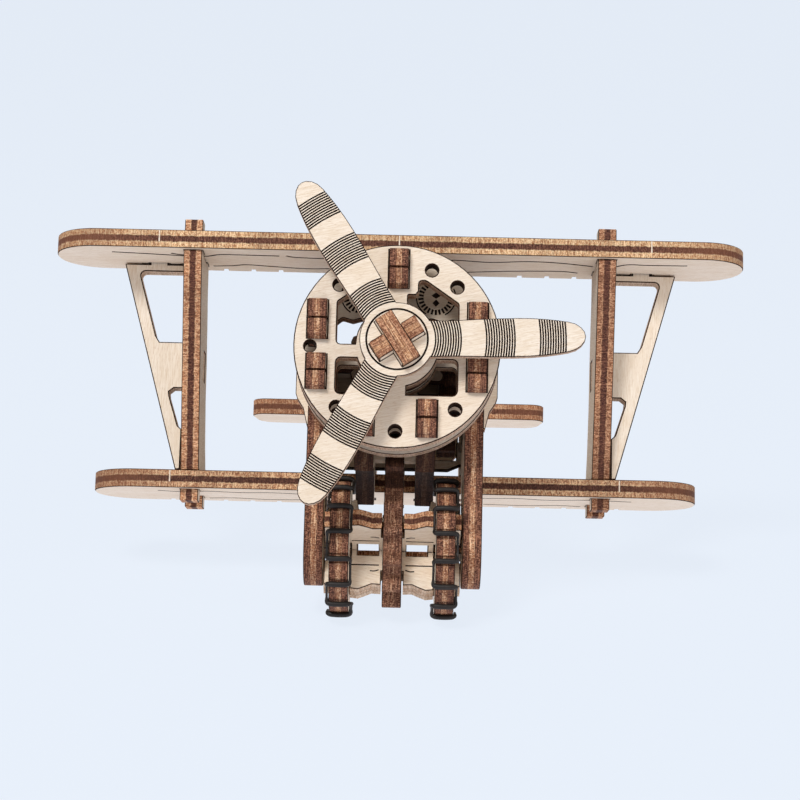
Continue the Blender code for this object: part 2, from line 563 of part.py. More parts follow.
def axle_plate(slot_side, window, short_arm=False):
    """Wide axle plate; slot_side gives the end that is open for the other plate. A short arm is cut
    back between the wheels, on the side away from the ground."""
    g = HALF + FIT
    w0, w1 = window
    s = -slot_side                     # the closed end, with the tongue
    pts = []
    # outer edge along +v from the slotted end to the closed end, then back along -v
    top = [(-WEB_X, 11.3), (-7.0, 11.5), (-5.6, 10.9), (-4.2, 10.2), (-2.3, 10.3), (-2.3, 7.0),
           (2.3, 7.0), (2.3, 10.3), (4.2, 10.2), (5.6, 10.9), (7.0, 11.5), (WEB_X, 11.3)]
    right_end = [(WEB_X, TAB[1]), (END_X, TAB[1]), (END_X, TAB[0]), (WEB_X, TAB[0]),
                 (WEB_X, T), (18.4, T), (18.4, -T), (WEB_X, -T),
                 (WEB_X, -TAB[0]), (END_X, -TAB[0]), (END_X, -TAB[1]), (WEB_X, -TAB[1])]
    bottom = [(-u, -v) for u, v in top]
    if short_arm:
        arm = [(WEB_X, -10.7), (7.7, -10.7), (7.1, -6.4), (2.3, -6.4), (2.3, -7.0)]
        bottom = arm + [(-u, v) for u, v in reversed(arm)]
    left_end = [(-WEB_X, -TAB[1]), (-END_X, -TAB[1]), (-END_X, -TAB[0]), (-WEB_X, -TAB[0]),
                (-WEB_X, -g), (-7.3, -g), (-7.3, -w0), (-2.9, -w0), (-2.9, -g), (0.15, -g),
                (0.15, g), (-2.9, g), (-2.9, w0), (-7.3, w0), (-7.3, g), (-WEB_X, g),
                (-WEB_X, TAB[0]), (-END_X, TAB[0]), (-END_X, TAB[1]), (-WEB_X, TAB[1])]
    ring = top + right_end + bottom + left_end
    if s < 0:
        ring = [(-u, v) for u, v in ring]
        return ring[::-1]
    return ring


def axle_window(s, w1):
    return rect(min(s * 2.9, s * 7.3), -w1, max(s * 2.9, s * 7.3), w1)


WIN_A, WIN_B = 4.2, 3.2
pa = axle_plate(-1, (WIN_A, WIN_A))
pb = axle_plate(1, (WIN_B, WIN_B), short_arm=True)
shaft_pair("axle_plate", pa, pb, [axle_window(1, WIN_A)], [axle_window(-1, WIN_B)], axle_axis,
           (about_x(AXLE_TILT), about_x(AXLE_TILT - 90)))

CROSS_PHASE = -15.85   # one crossing of the rubber thread, degrees above straight ahead


def wheel_ring():
    ring = []
    half = math.degrees(0.85 / WHEEL_R)
    step = 360.0 / CROSSINGS
    for k in range(CROSSINGS):
        a = CROSS_PHASE + k * step
        for r, da in ((WHEEL_R, -half - 1.0), (13.6, -half), (13.55, 0.0), (13.6, half),
                      (WHEEL_R, half + 1.0), (WHEEL_R, step * 0.5)):
            t = math.radians(a + da)
            ring.append((r * math.cos(t), r * math.sin(t)))
    return ring


def wheel(name, x):
    g = HALF + FIT
    ring = [(-u, v) for u, v in wheel_ring()][::-1]
    centre_hole = cross_ring(3.0)
    holes = [turned(centre_hole, AXLE_TILT)]
    for q in range(4):
        holes.append(turned(rect(TAB[0] - FIT, -g, TAB[1] + FIT, g), AXLE_TILT + 90 * q))
    for q in range(4):
        holes.append(circle(9.4 * math.cos(math.radians(AXLE_TILT + 45 + 90 * q)),
                            9.4 * math.sin(math.radians(AXLE_TILT + 45 + 90 * q)), 1.7, 14))
    holes = [[(-u, v) for u, v in h][::-1] for h in holes]
    return plate(name, ring, holes, "YZ", (x, 0, 0), parent=axle_axis, rgb=CHARRED)


def tyre_cord(name, x, flip):
    """Rubber thread laced to and fro over the wheel's rim, a closed loop."""
    pts = []
    step = 360.0 / CROSSINGS
    for k in range(CROSSINGS):
        s = 1 if (k + flip) % 2 else -1
        a = CROSS_PHASE + k * step
        for dx, r, da in ((-1.7 * s, 14.4, 0), (0.0, 14.5, 0), (1.7 * s, 14.4, 0),
                          (2.5 * s, 14.12, 1.2), (2.72 * s, 13.55, 5.0), (2.72 * s, 13.3, 11.25),
                          (2.72 * s, 13.55, 17.5), (2.5 * s, 14.12, 21.3)):
            t = math.radians(a + da)
            pts.append((x + dx, -r * math.cos(t), r * math.sin(t)))
    cu = bpy.data.curves.new(name, "CURVE")
    cu.dimensions = "3D"
    cu.bevel_depth = CORD_R * MM
    cu.bevel_resolution = 1
    cu.render_resolution_u = 0
    cu.fill_mode = "FULL"
    sp = cu.splines.new("POLY")
    sp.points.add(len(pts) - 1)
    for p, c in zip(sp.points, pts):
        p.co = (c[0] * MM, c[1] * MM, c[2] * MM, 1.0)
    sp.use_cyclic_u = True
    cu.materials.append(material(name + "_rubber", RUBBER, 0.7))
    ob = bpy.data.objects.new(name, cu)
    plane_col.objects.link(ob)
    ob.parent = axle_axis
    return ob


wheel("wheel_left", -WHEEL_X)
wheel("wheel_right", WHEEL_X)
tyre_cord("tyre_cord_left", -WHEEL_X, 0)
tyre_cord("tyre_cord_right", WHEEL_X, 1)
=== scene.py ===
"""Looks for the plywood propeller biplane: every plate is redrawn from its own outline with burnt,
chamfered rims, engraved lines and a three-ply edge, and stands for the CAD node of the same plate."""
import json
import math

import bmesh
import bpy
from mathutils import Matrix, Vector
from mathutils.geometry import delaunay_2d_cdt


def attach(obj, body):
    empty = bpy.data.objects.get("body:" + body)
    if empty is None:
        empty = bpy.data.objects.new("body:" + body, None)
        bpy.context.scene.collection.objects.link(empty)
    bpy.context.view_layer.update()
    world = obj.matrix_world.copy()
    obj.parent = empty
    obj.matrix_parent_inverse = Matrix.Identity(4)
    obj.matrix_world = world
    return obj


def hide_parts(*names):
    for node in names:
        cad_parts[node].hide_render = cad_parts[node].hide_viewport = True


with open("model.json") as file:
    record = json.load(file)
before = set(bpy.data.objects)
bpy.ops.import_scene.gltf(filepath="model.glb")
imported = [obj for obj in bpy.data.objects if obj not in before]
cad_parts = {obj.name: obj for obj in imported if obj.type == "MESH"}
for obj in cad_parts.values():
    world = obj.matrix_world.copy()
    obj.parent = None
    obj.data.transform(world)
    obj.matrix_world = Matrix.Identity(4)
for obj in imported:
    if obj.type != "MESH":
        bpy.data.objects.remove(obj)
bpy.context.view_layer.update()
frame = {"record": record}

MM = 0.001
scene = bpy.context.scene

# ---- driving dimensions (mm), fuselage frame: x side, y towards the tail, z up ----
PLY = 4.0              # thickness of every plate but the propeller
HALF = PLY / 2
FIT = 0.3              # gap between a tab and its slot
PITCH_DEG = 22.0       # nose-up standing attitude
STAND_Y = -49.871      # places the model's box centre on the origin
STAND_Z = 58.702      # lifts the lowest point of wheels and skid to z = 0

DISC_R = 21.2
DISC_Y = (0.0, 4.0)
PANEL_Y = (8.4, 12.4)
TONGUE_BASE = 12.7     # where the fuselage plates start behind the second disc
TONGUE_TIP = -2.2
SIDE_X = 16.4
INNER_X = 6.4
SIDE_UP = (1.3, 9.1)
SIDE_DOWN = (-9.1, -2.2)
INNER_TAB = (-18.6, -11.3)
TOP_TAB = (12.2, 20.0)

UPPER_SPAN = 152.0
UPPER_Y = (24.0, 44.5)
UPPER_Z = 27.6
LOWER_SPAN = 134.0
LOWER_Y = (36.5, 57.5)
LOWER_Z = -23.3
STRUT_X = 45.2

PROP_R = 38.0
PROP_Y = (-6.6, -4.6)   # the propeller is cut from 2 mm ply
HUB_R = 7.6
SHAFT_W = 5.3          # half width of a cross-shaft plate

AXLE = (20.0, -39.25)   # wheel axle (y, z)
IDLER = (23.74, -18.87)
LAY = (32.3, 0.0)
CORD_R = 0.45          # rubber thread radius
WHEEL_X = 10.9
WHEEL_R = 14.0
CROSSINGS = 16
AXLE_TILT = 26.5       # first axle plate, degrees above straight ahead


FIT = 0.06              # the real tabs are tight in their slots
BODY_OF = {n: b for b, ns in frame["record"]["behaviour"]["bodies"].items() for n in ns}
STAND = Matrix.Translation(Vector((0.0, STAND_Y, STAND_Z)) * MM) @ Matrix.Rotation(
    -math.radians(PITCH_DEG), 4, "X")


class Axis:
    """Where a group of plates is drawn from: a point of the fuselage frame."""

    def __init__(self, at):
        self.m = STAND @ Matrix.Translation(Vector(at) * MM)


stand = Axis((0.0, 0.0, 0.0))
axle_axis = Axis((0.0, *AXLE))
idler_axis = Axis((0.0, *IDLER))
lay_axis = Axis((0.0, *LAY))
prop_axis = Axis((0.0, 0.0, 0.0))

# ---- camera: the reference view, slightly below the propeller shaft's line ----
F_PX, DEPTH = 2107.0, 430.0
CAM_EL, CAM_YAW, CAM_ROLL = math.radians(10.2), math.radians(0.27), math.radians(1.4)
DISC_U, DISC_V = 397.1, 345.7
fwd = Vector((-math.sin(CAM_YAW) * math.cos(CAM_EL), math.cos(CAM_YAW) * math.cos(CAM_EL),
              math.sin(CAM_EL)))
rgt = Vector((math.cos(CAM_YAW), math.sin(CAM_YAW), 0.0))
upw = rgt.cross(fwd)
rgt, upw = (math.cos(CAM_ROLL) * rgt + math.sin(CAM_ROLL) * upw,
            -math.sin(CAM_ROLL) * rgt + math.cos(CAM_ROLL) * upw)
eye = -(DEPTH * fwd + (DISC_U - 400) / F_PX * DEPTH * rgt + (400 - DISC_V) / F_PX * DEPTH * upw)
cam_m = Matrix((rgt, upw, -fwd)).transposed().to_4x4()
cam_m.translation = eye * MM
cam = bpy.data.objects.new("camera", bpy.data.cameras.new("camera"))
scene.collection.objects.link(cam)
cam.matrix_world = STAND @ cam_m
cam.data.sensor_width = 36.0
cam.data.lens = F_PX / 800 * 36.0
cam.data.clip_start, cam.data.clip_end = 0.01, 60.0
scene.camera = cam


# ---- materials ----
def lin(r, g, b, gain=1.0):
    """8-bit display colour to linear reflectance."""
    out = []
    for c in (r, g, b):
        c = c / 255
        c = c / 12.92 if c <= 0.04045 else ((c + 0.055) / 1.055) ** 2.4
        out.append(min(1.0, c * gain))
    return (*out, 1.0)


class Nodes:
    """Short hand for building one node tree."""

    def __init__(self, name):
        self.mat = bpy.data.materials.new(name)
        self.mat.use_nodes = True
        self.t = self.mat.node_tree
        self.bsdf = self.t.nodes["Principled BSDF"]

    def new(self, kind, **props):
        n = self.t.nodes.new(kind)
        for k, v in props.items():
            setattr(n, k, v)
        return n

    def put(self, socket, value):
        if hasattr(value, "is_output") or isinstance(value, bpy.types.NodeSocket):
            self.t.links.new(value, socket)
        else:
            socket.default_value = value

    def math(self, op, a, b=0.0, c=0.0, clamp=False):
        n = self.new("ShaderNodeMath", operation=op, use_clamp=clamp)
        for s, v in zip(n.inputs, (a, b, c)):
            self.put(s, v)
        return n.outputs[0]

    def mix(self, fac, a, b, blend="MIX"):
        n = self.new("ShaderNodeMix", data_type="RGBA", blend_type=blend)
        self.put(n.inputs["Factor"], fac)
        self.put(n.inputs[6], a)
        self.put(n.inputs[7], b)
        return n.outputs[2]

    def noise(self, vec, scale, detail=2.0, rough=0.5, stretch=(1, 1, 1), shift=(0, 0, 0)):
        m = self.new("ShaderNodeMapping")
        self.put(m.inputs["Vector"], vec)
        m.inputs["Scale"].default_value = stretch
        m.inputs["Location"].default_value = shift
        n = self.new("ShaderNodeTexNoise")
        self.t.links.new(m.outputs[0], n.inputs["Vector"])
        n.inputs["Scale"].default_value = scale
        n.inputs["Detail"].default_value = detail
        n.inputs["Roughness"].default_value = rough
        return n.outputs["Fac"]

    def ramp(self, fac, stops, interp="LINEAR"):
        n = self.new("ShaderNodeValToRGB")
        n.color_ramp.interpolation = interp
        e = n.color_ramp.elements
        while len(e) < len(stops):
            e.new(0.5)
        for el, (pos, col) in zip(e, stops):
            el.position = pos
            el.color = col if not isinstance(col, (int, float)) else (col, col, col, 1.0)
        self.put(n.inputs[0], fac)
        return n.outputs[0]

    def local(self, m):
        """Rest-frame position in the plate's own drawing axes, in millimetres."""
        tc = self.new("ShaderNodeTexCoord")
        r = m.to_3x3().normalized().transposed()
        c = r @ m.translation
        mp = self.new("ShaderNodeMapping", vector_type="POINT")
        self.t.links.new(tc.outputs["Object"], mp.inputs["Vector"])
        mp.inputs["Scale"].default_value = (1000.0, 1000.0, 1000.0)
        mp.inputs["Rotation"].default_value = r.to_euler()
        mp.inputs["Location"].default_value = -c * 1000.0
        return mp.outputs[0]

    def bump(self, height, strength, dist):
        b = self.new("ShaderNodeBump")
        b.inputs["Strength"].default_value = strength
        b.inputs["Distance"].default_value = dist
        self.put(b.inputs["Height"], height)
        self.t.links.new(b.outputs[0], self.bsdf.inputs["Normal"])


FACE = lin(243, 231, 215)
FACE_SHADE = lin(235, 219, 199)
CHAR = lin(44, 26, 17)


def face_mat(name, m, seed, grain_deg, darken=1.0):
    """Sanded birch: pale cream with short fine fibres and a faint cloudy figure."""
    k = Nodes(name + "_face")
    p = k.local(m)
    rot = k.new("ShaderNodeMapping")
    k.put(rot.inputs["Vector"], p)
    rot.inputs["Rotation"].default_value = (0, 0, -math.radians(grain_deg))
    rot.inputs["Location"].default_value = (seed * 7.3, seed * 3.1, seed)
    g = rot.outputs[0]
    fibre = k.noise(g, 1.0, 3.0, 0.6, (0.30, 4.2, 1.0))
    fleck = k.noise(g, 1.0, 1.0, 0.5, (0.9, 9.0, 1.0), (11, 5, 2))
    cloud = k.noise(g, 0.09, 2.0, 0.5, (0.5, 1.6, 1.0), (3, 9, 1))
    base = k.mix(k.ramp(cloud, [(0.3, 0.0), (0.75, 1.0)]), FACE, FACE_SHADE)
    base = k.mix(k.ramp(fibre, [(0.40, 0.0), (0.72, 0.8)]), base, lin(218, 196, 168))
    base = k.mix(k.ramp(fleck, [(0.60, 0.0), (0.72, 0.6)]), base, lin(198, 170, 140))
    # darken multiplies the face colour down: painted shade for parts inside the fuselage and nose
    if darken != 1.0:
        base = k.mix(1.0, base, (darken, darken, darken, 1.0), "MULTIPLY")
    k.put(k.bsdf.inputs["Base Color"], base)
    k.put(k.bsdf.inputs["Roughness"], k.ramp(fibre, [(0.3, 0.62), (0.8, 0.80)]))
    k.bsdf.inputs["Specular IOR Level"].default_value = 0.28
    k.bump(fibre, 0.25, 0.00005)
    return k.mat


# burnt edges: outer ply, its dark grain, its pale grain, inner ply, its dark and pale grain
LIGHT_DARK = ((230, 184, 136), (150, 94, 58), (255, 226, 182), (98, 58, 44), (56, 28, 20), (146, 100, 80))
LOW_WING = ((204, 152, 112), (122, 74, 50), (246, 212, 168), (78, 44, 33), (42, 22, 16), (122, 80, 62))
WARM_DARK = ((206, 144, 102), (128, 76, 50), (248, 206, 164), (92, 54, 42), (56, 28, 21), (140, 92, 70))
STRUT_R = ((164, 110, 78), (98, 56, 37), (222, 174, 136), (92, 53, 41), (54, 27, 20), (136, 90, 70))
HUB = ((156, 102, 72), (98, 56, 38), (220, 170, 132), (200, 148, 106), (136, 86, 60), (244, 206, 166))
SOFT = ((222, 196, 168), (190, 154, 124), (238, 218, 194), (214, 186, 158), (184, 150, 122), (232, 210, 184))
DARK_LIGHT = ((94, 53, 38), (45, 21, 14), (178, 124, 96), (186, 131, 93), (116, 68, 47), (252, 214, 174))
GEAR_DARK = ((104, 64, 46), (50, 25, 16), (178, 130, 102), (136, 88, 64), (68, 36, 25), (222, 178, 142))
# edges of the parts inside the fuselage: the burnt ply colours darkened as painted shade
SHADED_INSIDE = ((62, 36, 26), (30, 15, 10), (104, 70, 52), (80, 50, 37), (40, 21, 14), (130, 92, 68))
PALE_EDGE = ((216, 188, 162), (176, 140, 112), (236, 214, 190), (204, 172, 146), (158, 120, 96), (226, 200, 174))


def edge_mat(name, m, seed, tone, thick=PLY, shade=None, tips=None):
    """Laser-cut edge: three plies, grainy with scorched and pale fibre ends."""
    o_base, o_dark, o_pale, i_base, i_dark, i_pale = (lin(*c) for c in tone)
    k = Nodes(name + "_edge")
    p = k.local(m)
    sh = k.new("ShaderNodeMapping")
    k.put(sh.inputs["Vector"], p)
    sh.inputs["Location"].default_value = (seed * 5.7, seed * 2.9, 0)
    q = sh.outputs[0]
    sep = k.new("ShaderNodeSeparateXYZ")
    k.put(sep.inputs[0], p)
    wob = k.noise(q, 1.1, 3.0, 0.65)
    t = k.math("MULTIPLY_ADD", sep.outputs[2], 1 / thick, 0.5)
    t = k.math("ADD", t, k.math("MULTIPLY_ADD", wob, 0.16, -0.08))
    inner = k.ramp(t, [(0.34, 0.0), (0.36, 1.0), (0.64, 1.0), (0.66, 0.0)])
    glue = k.ramp(t, [(0.30, 0.0), (0.335, 0.7), (0.37, 0.0), (0.63, 0.0), (0.665, 0.7),
                      (0.70, 0.0)])
    grit = k.noise(q, 2.6, 3.0, 0.75, (1, 1, 0.7))
    grit2 = k.noise(q, 3.8, 2.0, 0.65, (1, 1, 0.6), (5, 2, 7))
    outer_c = k.mix(k.ramp(grit, [(0.43, 0.8), (0.52, 0.0)]), o_base, o_dark)
    outer_c = k.mix(k.ramp(grit2, [(0.50, 0.0), (0.60, 0.9)]), outer_c, o_pale)
    inner_c = k.mix(k.ramp(grit, [(0.42, 1.0), (0.53, 0.0)]), i_base, i_dark)
    inner_c = k.mix(k.ramp(grit2, [(0.53, 0.0), (0.63, 0.8)]), inner_c, i_pale)
    col = k.mix(inner, outer_c, inner_c)
    col = k.mix(glue, col, lin(70, 40, 28))
    along = tone in (DARK_LIGHT, GEAR_DARK, HUB, SHADED_INSIDE)
    line = k.noise(q, 1.0, 3.0, 0.65, (0.28, 0.28, 4.6) if along else (3.4, 3.4, 0.55), (2, 4, 6))
    col = k.mix(k.ramp(line, [(0.38, 0.85), (0.47, 0.0)]), col, k.mix(inner, o_dark, i_dark))
    spark = k.math("MULTIPLY", k.ramp(t, [(0.26, 0.0), (0.295, 1.0), (0.33, 0.0), (0.67, 0.0),
                                          (0.705, 1.0), (0.74, 0.0)]),
                   k.ramp(k.noise(q, 1.6, 2.0, 0.7, (0.7, 0.7, 1.0), (7, 7, 1)),
                          [(0.46, 0.0), (0.56, 0.85)]))
    col = k.mix(spark, col, o_pale)
    col = k.mix(k.ramp(line, [(0.57, 0.0), (0.65, 0.8)]), col, k.mix(inner, o_pale, i_pale))
    burn = k.noise(q, 0.16, 2.0, 0.55, (1, 1, 0.3), (9, 1, 3))
    streak = k.noise(q, 1.0, 2.0, 0.6, (3.2, 3.2, 0.12))
    dark = k.math("MULTIPLY", k.ramp(burn, [(0.42, 0.1), (0.72, 0.6)]),
                  k.ramp(streak, [(0.35, 0.25), (0.65, 1.0)]))
    col = k.mix(dark, col, lin(92, 54, 36))
    # darker brown towards the tips: partly deeper scorch, partly painted shade on the tip edges
    if tips:
        far = k.math("MULTIPLY", k.math("ABSOLUTE", sep.outputs[0]), 1 / tips)
        col = k.mix(k.math("MULTIPLY", k.ramp(far, [(0.76, 0.0), (0.96, 0.6)]),
                           k.ramp(grit, [(0.35, 1.0), (0.7, 0.45)])), col, lin(128, 80, 54))
    # painted shade: the edge darkens from shade[0] to shade[1] mm back along u, where the part lies in shadow
    # inside the fuselage
    if shade:
        back = k.math("MULTIPLY_ADD", sep.outputs[0], 1 / (shade[1] - shade[0]),
                      -shade[0] / (shade[1] - shade[0]))
        col = k.mix(k.ramp(back, [(0.0, 0.0), (1.0, 0.78)]), col, lin(34, 18, 12))
    k.put(k.bsdf.inputs["Base Color"], col)
    k.put(k.bsdf.inputs["Roughness"], k.ramp(grit, [(0.3, 0.85), (0.8, 0.55)]))
    k.bsdf.inputs["Specular IOR Level"].default_value = 0.3
    k.bump(k.math("ADD", streak, grit), 0.45, 0.0001)
    return k.mat


def char_mat(name, colour, seed):
    """Scorched rim and engraved groove."""
    k = Nodes(name)
    tc = k.new("ShaderNodeTexCoord")
    n = k.noise(tc.outputs["Object"], 2600.0, 2.0, 0.6, (1, 1, 1), (seed, 0, 0))
    k.put(k.bsdf.inputs["Base Color"], k.mix(k.ramp(n, [(0.4, 0.0), (0.75, 0.4)]), colour,
                                             lin(80, 50, 34)))
    k.put(k.bsdf.inputs["Roughness"], k.ramp(n, [(0.3, 0.7), (0.8, 0.92)]))
    k.bsdf.inputs["Specular IOR Level"].default_value = 0.2
    return k.mat


RIM = char_mat("burnt_rim", lin(44, 26, 17), 1.0)
GROOVE = char_mat("engraved_groove", lin(24, 14, 10), 2.0)

# ---- engraving: closed cutters in a plate's own drawing axes (mm) ----
ENGRAVE = {}


def cutter_prism(bm, ring, w0, w1, index=3):
    lo = [bm.verts.new((u, v, w0)) for u, v in ring]
    hi = [bm.verts.new((u, v, w1)) for u, v in ring]
    faces = [bm.faces.new(lo[::-1]), bm.faces.new(hi)]
    n = len(ring)
    for i in range(n):
        faces.append(bm.faces.new((lo[i], lo[(i + 1) % n], hi[(i + 1) % n], hi[i])))
    for f in faces:
        f.material_index = index


def cutter_annulus(bm, cu, cv, r0, r1, w0, w1, n=120):
    rows = []
    for r, w in ((r0, w0), (r1, w0), (r1, w1), (r0, w1)):
        rows.append([bm.verts.new((cu + r * math.cos(2 * math.pi * i / n),
                                   cv + r * math.sin(2 * math.pi * i / n), w)) for i in range(n)])
    for a, b in ((0, 1), (1, 2), (2, 3), (3, 0)):
        for i in range(n):
            j = (i + 1) % n
            f = bm.faces.new((rows[a][i], rows[a][j], rows[b][j], rows[b][i]))
            f.material_index = 3


def ribbon(points, width):
    """Outline of a stroke of that width along a polyline."""
    left, right_ = [], []
    n = len(points)
    for i in range(n):
        a = Vector(points[max(i - 1, 0)])
        b = Vector(points[min(i + 1, n - 1)])
        d = (b - a).normalized()
        nn = Vector((-d.y, d.x)) * width / 2
        p = Vector(points[i])
        left.append(tuple(p + nn))
        right_.append(tuple(p - nn))
    return right_ + left[::-1]


def smooth(points, n=6):
    out = []
    m = len(points)
    for i in range(m - 1):
        p0, p1, p2, p3 = (Vector(points[min(max(i + j, 0), m - 1)]) for j in (-1, 0, 1, 2))
        for q in range(n):
            t = q / n
            out.append(tuple(0.5 * ((2 * p1) + (p2 - p0) * t + (2 * p0 - 5 * p1 + 4 * p2 - p3) * t * t
                                    + (3 * p1 - p0 - 3 * p2 + p3) * t ** 3)))
    out.append(tuple(points[-1]))
    return out


def add_cut(name, *cuts):
    ENGRAVE.setdefault(name, []).extend(cuts)


def stroke(name, points, width=0.28, depth=0.3, face=1):
    """An engraved line on the face at w = face * PLY / 2."""
    w = sorted((face * (PLY / 2 - depth), face * (PLY / 2 + 0.4)))
    add_cut(name, lambda bm: cutter_prism(bm, ribbon(points, width), *w))


# ---- building a plate ----
PLANES = {
    "XZ": Matrix(((1, 0, 0), (0, 0, -1), (0, 1, 0))),
    "YZ": Matrix(((0, 0, 1), (1, 0, 0), (0, 1, 0))),
    "XY": Matrix.Identity(3),
}
BIRCH = CHARRED = None
CHAMFER = 0.16
TONE = {}
GRAIN = {}
FACE_DARKEN = {}
SHADE = {}
TIPS = {}
NUBS = {}
made = {}


def signed_area(ring):
    return sum(a[0] * b[1] - b[0] * a[1] for a, b in zip(ring, ring[1:] + ring[:1])) / 2


def inset(ring, d):
    """The ring moved towards its left side by d, corners mitred."""
    out = []
    n = len(ring)
    for i in range(n):
        p = Vector(ring[i])
        a = (p - Vector(ring[i - 1])).normalized()
        b = (Vector(ring[(i + 1) % n]) - p).normalized()
        na, nb = Vector((-a.y, a.x)), Vector((-b.y, b.x))
        m = na + nb
        m = m / max(0.35, m.dot(na)) if m.length > 1e-6 else na
        out.append(tuple(p + m * d))
    return out


def fill(rings):
    """Triangles between the outer ring and its holes, as indices into the rings end to end."""
    pts, edges = [], []
    for r in rings:
        k = len(pts)
        pts += [Vector(p) for p in r]
        edges += [(k + i, k + (i + 1) % len(r)) for i in range(len(r))]
    vs, _, faces, _, _, _ = delaunay_2d_cdt(pts, edges, [], 0, 1e-7)
    at = [min(range(len(pts)), key=lambda j: (pts[j] - v).length_squared) for v in vs]
    out = []
    for f in faces:
        x = sum(vs[i].x for i in f) / 3
        y = sum(vs[i].y for i in f) / 3
        odd = False
        for a, b in edges:
            p, q = pts[a], pts[b]
            if (p.y > y) != (q.y > y) and x < (q.x - p.x) * (y - p.y) / (q.y - p.y) + p.x:
                odd = not odd
        if odd:
            out.append([at[i] for i in f])
    return out


def outline_mesh(name, outline, holes, thick, chamfer):
    """Prism with both rims chamfered: side walls, then a strip, then the inset caps."""
    h = thick / 2
    rings = []
    for k, ring in enumerate((outline, *holes)):
        ring = [tuple(p) for p in ring]
        ring = [p for i, p in enumerate(ring) if (Vector(p) - Vector(ring[i - 1])).length > 1e-4]
        if (signed_area(ring) > 0) != (k == 0):
            ring = ring[::-1]
        rings.append(ring)
    insets = [inset(r, chamfer) for r in rings]
    bm = bmesh.new()
    levels = []
    for src, w in ((insets, -h), (rings, -h + chamfer), (rings, h - chamfer), (insets, h)):
        levels.append([[bm.verts.new((u, v, w)) for u, v in r] for r in src])
    # walls of holes under 5.2 mm take the burnt rim colour: laser scorch together with painted shade inside the
    # narrow hole
    small = [k > 0 and max(p[0] for p in r) - min(p[0] for p in r) < 5.2
             and max(p[1] for p in r) - min(p[1] for p in r) < 5.2 for k, r in enumerate(rings)]
    for a, b, idx in ((0, 1, 2), (1, 2, 1), (2, 3, 2)):
        for ra, rb, char_and_shade in zip(levels[a], levels[b], small):
            idx = 2 if char_and_shade else idx
            n = len(ra)
            for i in range(n):
                f = bm.faces.new((ra[i], ra[(i + 1) % n], rb[(i + 1) % n], rb[i]))
                f.material_index = idx
    tris = fill(insets)
    for lev in (0, 3):
        flat = [v for r in levels[lev] for v in r]
        for t in tris:
            try:
                bm.faces.new([flat[i] for i in t]).material_index = 0
            except ValueError:
                pass
    bmesh.ops.scale(bm, vec=(MM, MM, MM), verts=bm.verts)
    bmesh.ops.recalc_face_normals(bm, faces=bm.faces)
    me = bpy.data.meshes.new(name + "_mesh")
    bm.to_mesh(me)
    bm.free()
    return me


def engraved(name, me):
    """The mesh with its cutters taken out of it."""
    bm = bmesh.new()
    for cut in ENGRAVE[name]:
        cut(bm)
    bmesh.ops.scale(bm, vec=(MM, MM, MM), verts=bm.verts)
    bmesh.ops.recalc_face_normals(bm, faces=bm.faces)
    cme = bpy.data.meshes.new(name + "_cut")
    bm.to_mesh(cme)
    bm.free()
    for i in range(4):
        me.materials.append(GROOVE)
        cme.materials.append(GROOVE)
    body = bpy.data.objects.new(name + "_tmp", me)
    cut = bpy.data.objects.new(name + "_cutter", cme)
    for o in (body, cut):
        scene.collection.objects.link(o)
    mod = body.modifiers.new("cut", "BOOLEAN")
    mod.operation = "DIFFERENCE"
    mod.solver = "EXACT"
    mod.object = cut
    mod.use_self = True
    bpy.context.view_layer.update()
    out = bpy.data.meshes.new_from_object(body.evaluated_get(bpy.context.evaluated_depsgraph_get()))
    for o in (body, cut):
        bpy.data.objects.remove(o, do_unlink=True)
    keep = [p.material_index for p in out.polygons]
    out.materials.clear()
    out.polygons.foreach_set("material_index", keep)
    return out


def plate(name, outline, holes=(), plane="XZ", at=(0, 0, 0), thick=PLY, parent=None,
          rgb=None, turn=0.0, rot=None):
    me = outline_mesh(name, outline, holes, thick, 
                      0.24 if name in ("front_disc", "brace_left", "brace_right") else CHAMFER)
    if name in ENGRAVE:
        me = engraved(name, me)
    if name in NUBS:
        bm = bmesh.new()
        bm.from_mesh(me)
        start = len(bm.verts)
        for ring, w0, w1 in NUBS[name]:
            cutter_prism(bm, ring, w0, w1, 0)
        bm.verts.ensure_lookup_table()
        bmesh.ops.scale(bm, vec=(MM, MM, MM), verts=bm.verts[start:])
        bm.to_mesh(me)
        bm.free()
    r = (rot or PLANES[plane]).to_4x4()
    m = (parent or stand).m @ Matrix.Translation(Vector(at) * MM) @ r
    me.transform(m)
    seed = (sum(ord(c) * (i + 3) for i, c in enumerate(name)) % 97) * 0.37
    me.materials.append(face_mat(name, m, seed, GRAIN.get(name, 12.0), FACE_DARKEN.get(name, 1.0)))
    me.materials.append(edge_mat(name, m, seed, TONE.get(name, DARK_LIGHT), thick,
                                 SHADE.get(name), TIPS.get(name)))
    me.materials.append(RIM)
    me.materials.append(GROOVE)
    me.shade_smooth()
    me.set_sharp_from_angle(angle=math.radians(28))
    ob = bpy.data.objects.new(name + "_ply", me)
    scene.collection.objects.link(ob)
    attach(ob, BODY_OF[name])
    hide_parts(name)
    made[name] = ob
    return ob


# which plates show pale outer plies on their edges
for n in ("upper_wing", "lower_wing", "tailplane"):
    TONE[n] = LIGHT_DARK
for n in ("strut_left", "strut_right", "brace_left", "brace_right", "front_disc", "instrument_disc",
          "propeller", "axle_plate_a", "axle_plate_b", "fin", "mid_frame", "lower_frame",
          "rear_frame", "tail_frame"):
    TONE[n] = WARM_DARK
for n in ("front_disc", "instrument_disc", "propeller"):
    TONE[n] = PALE_EDGE
for n in ("brace_left", "brace_right"):
    TONE[n] = SOFT
    GRAIN[n] = 88.0
# inner longerons: painted shade on their edges, darker from 2.5 to 6.5 mm behind the nose disc, inside the
# fuselage
for n in ("inner_side_left", "inner_side_right"):
    SHADE[n] = (2.5, 6.5)
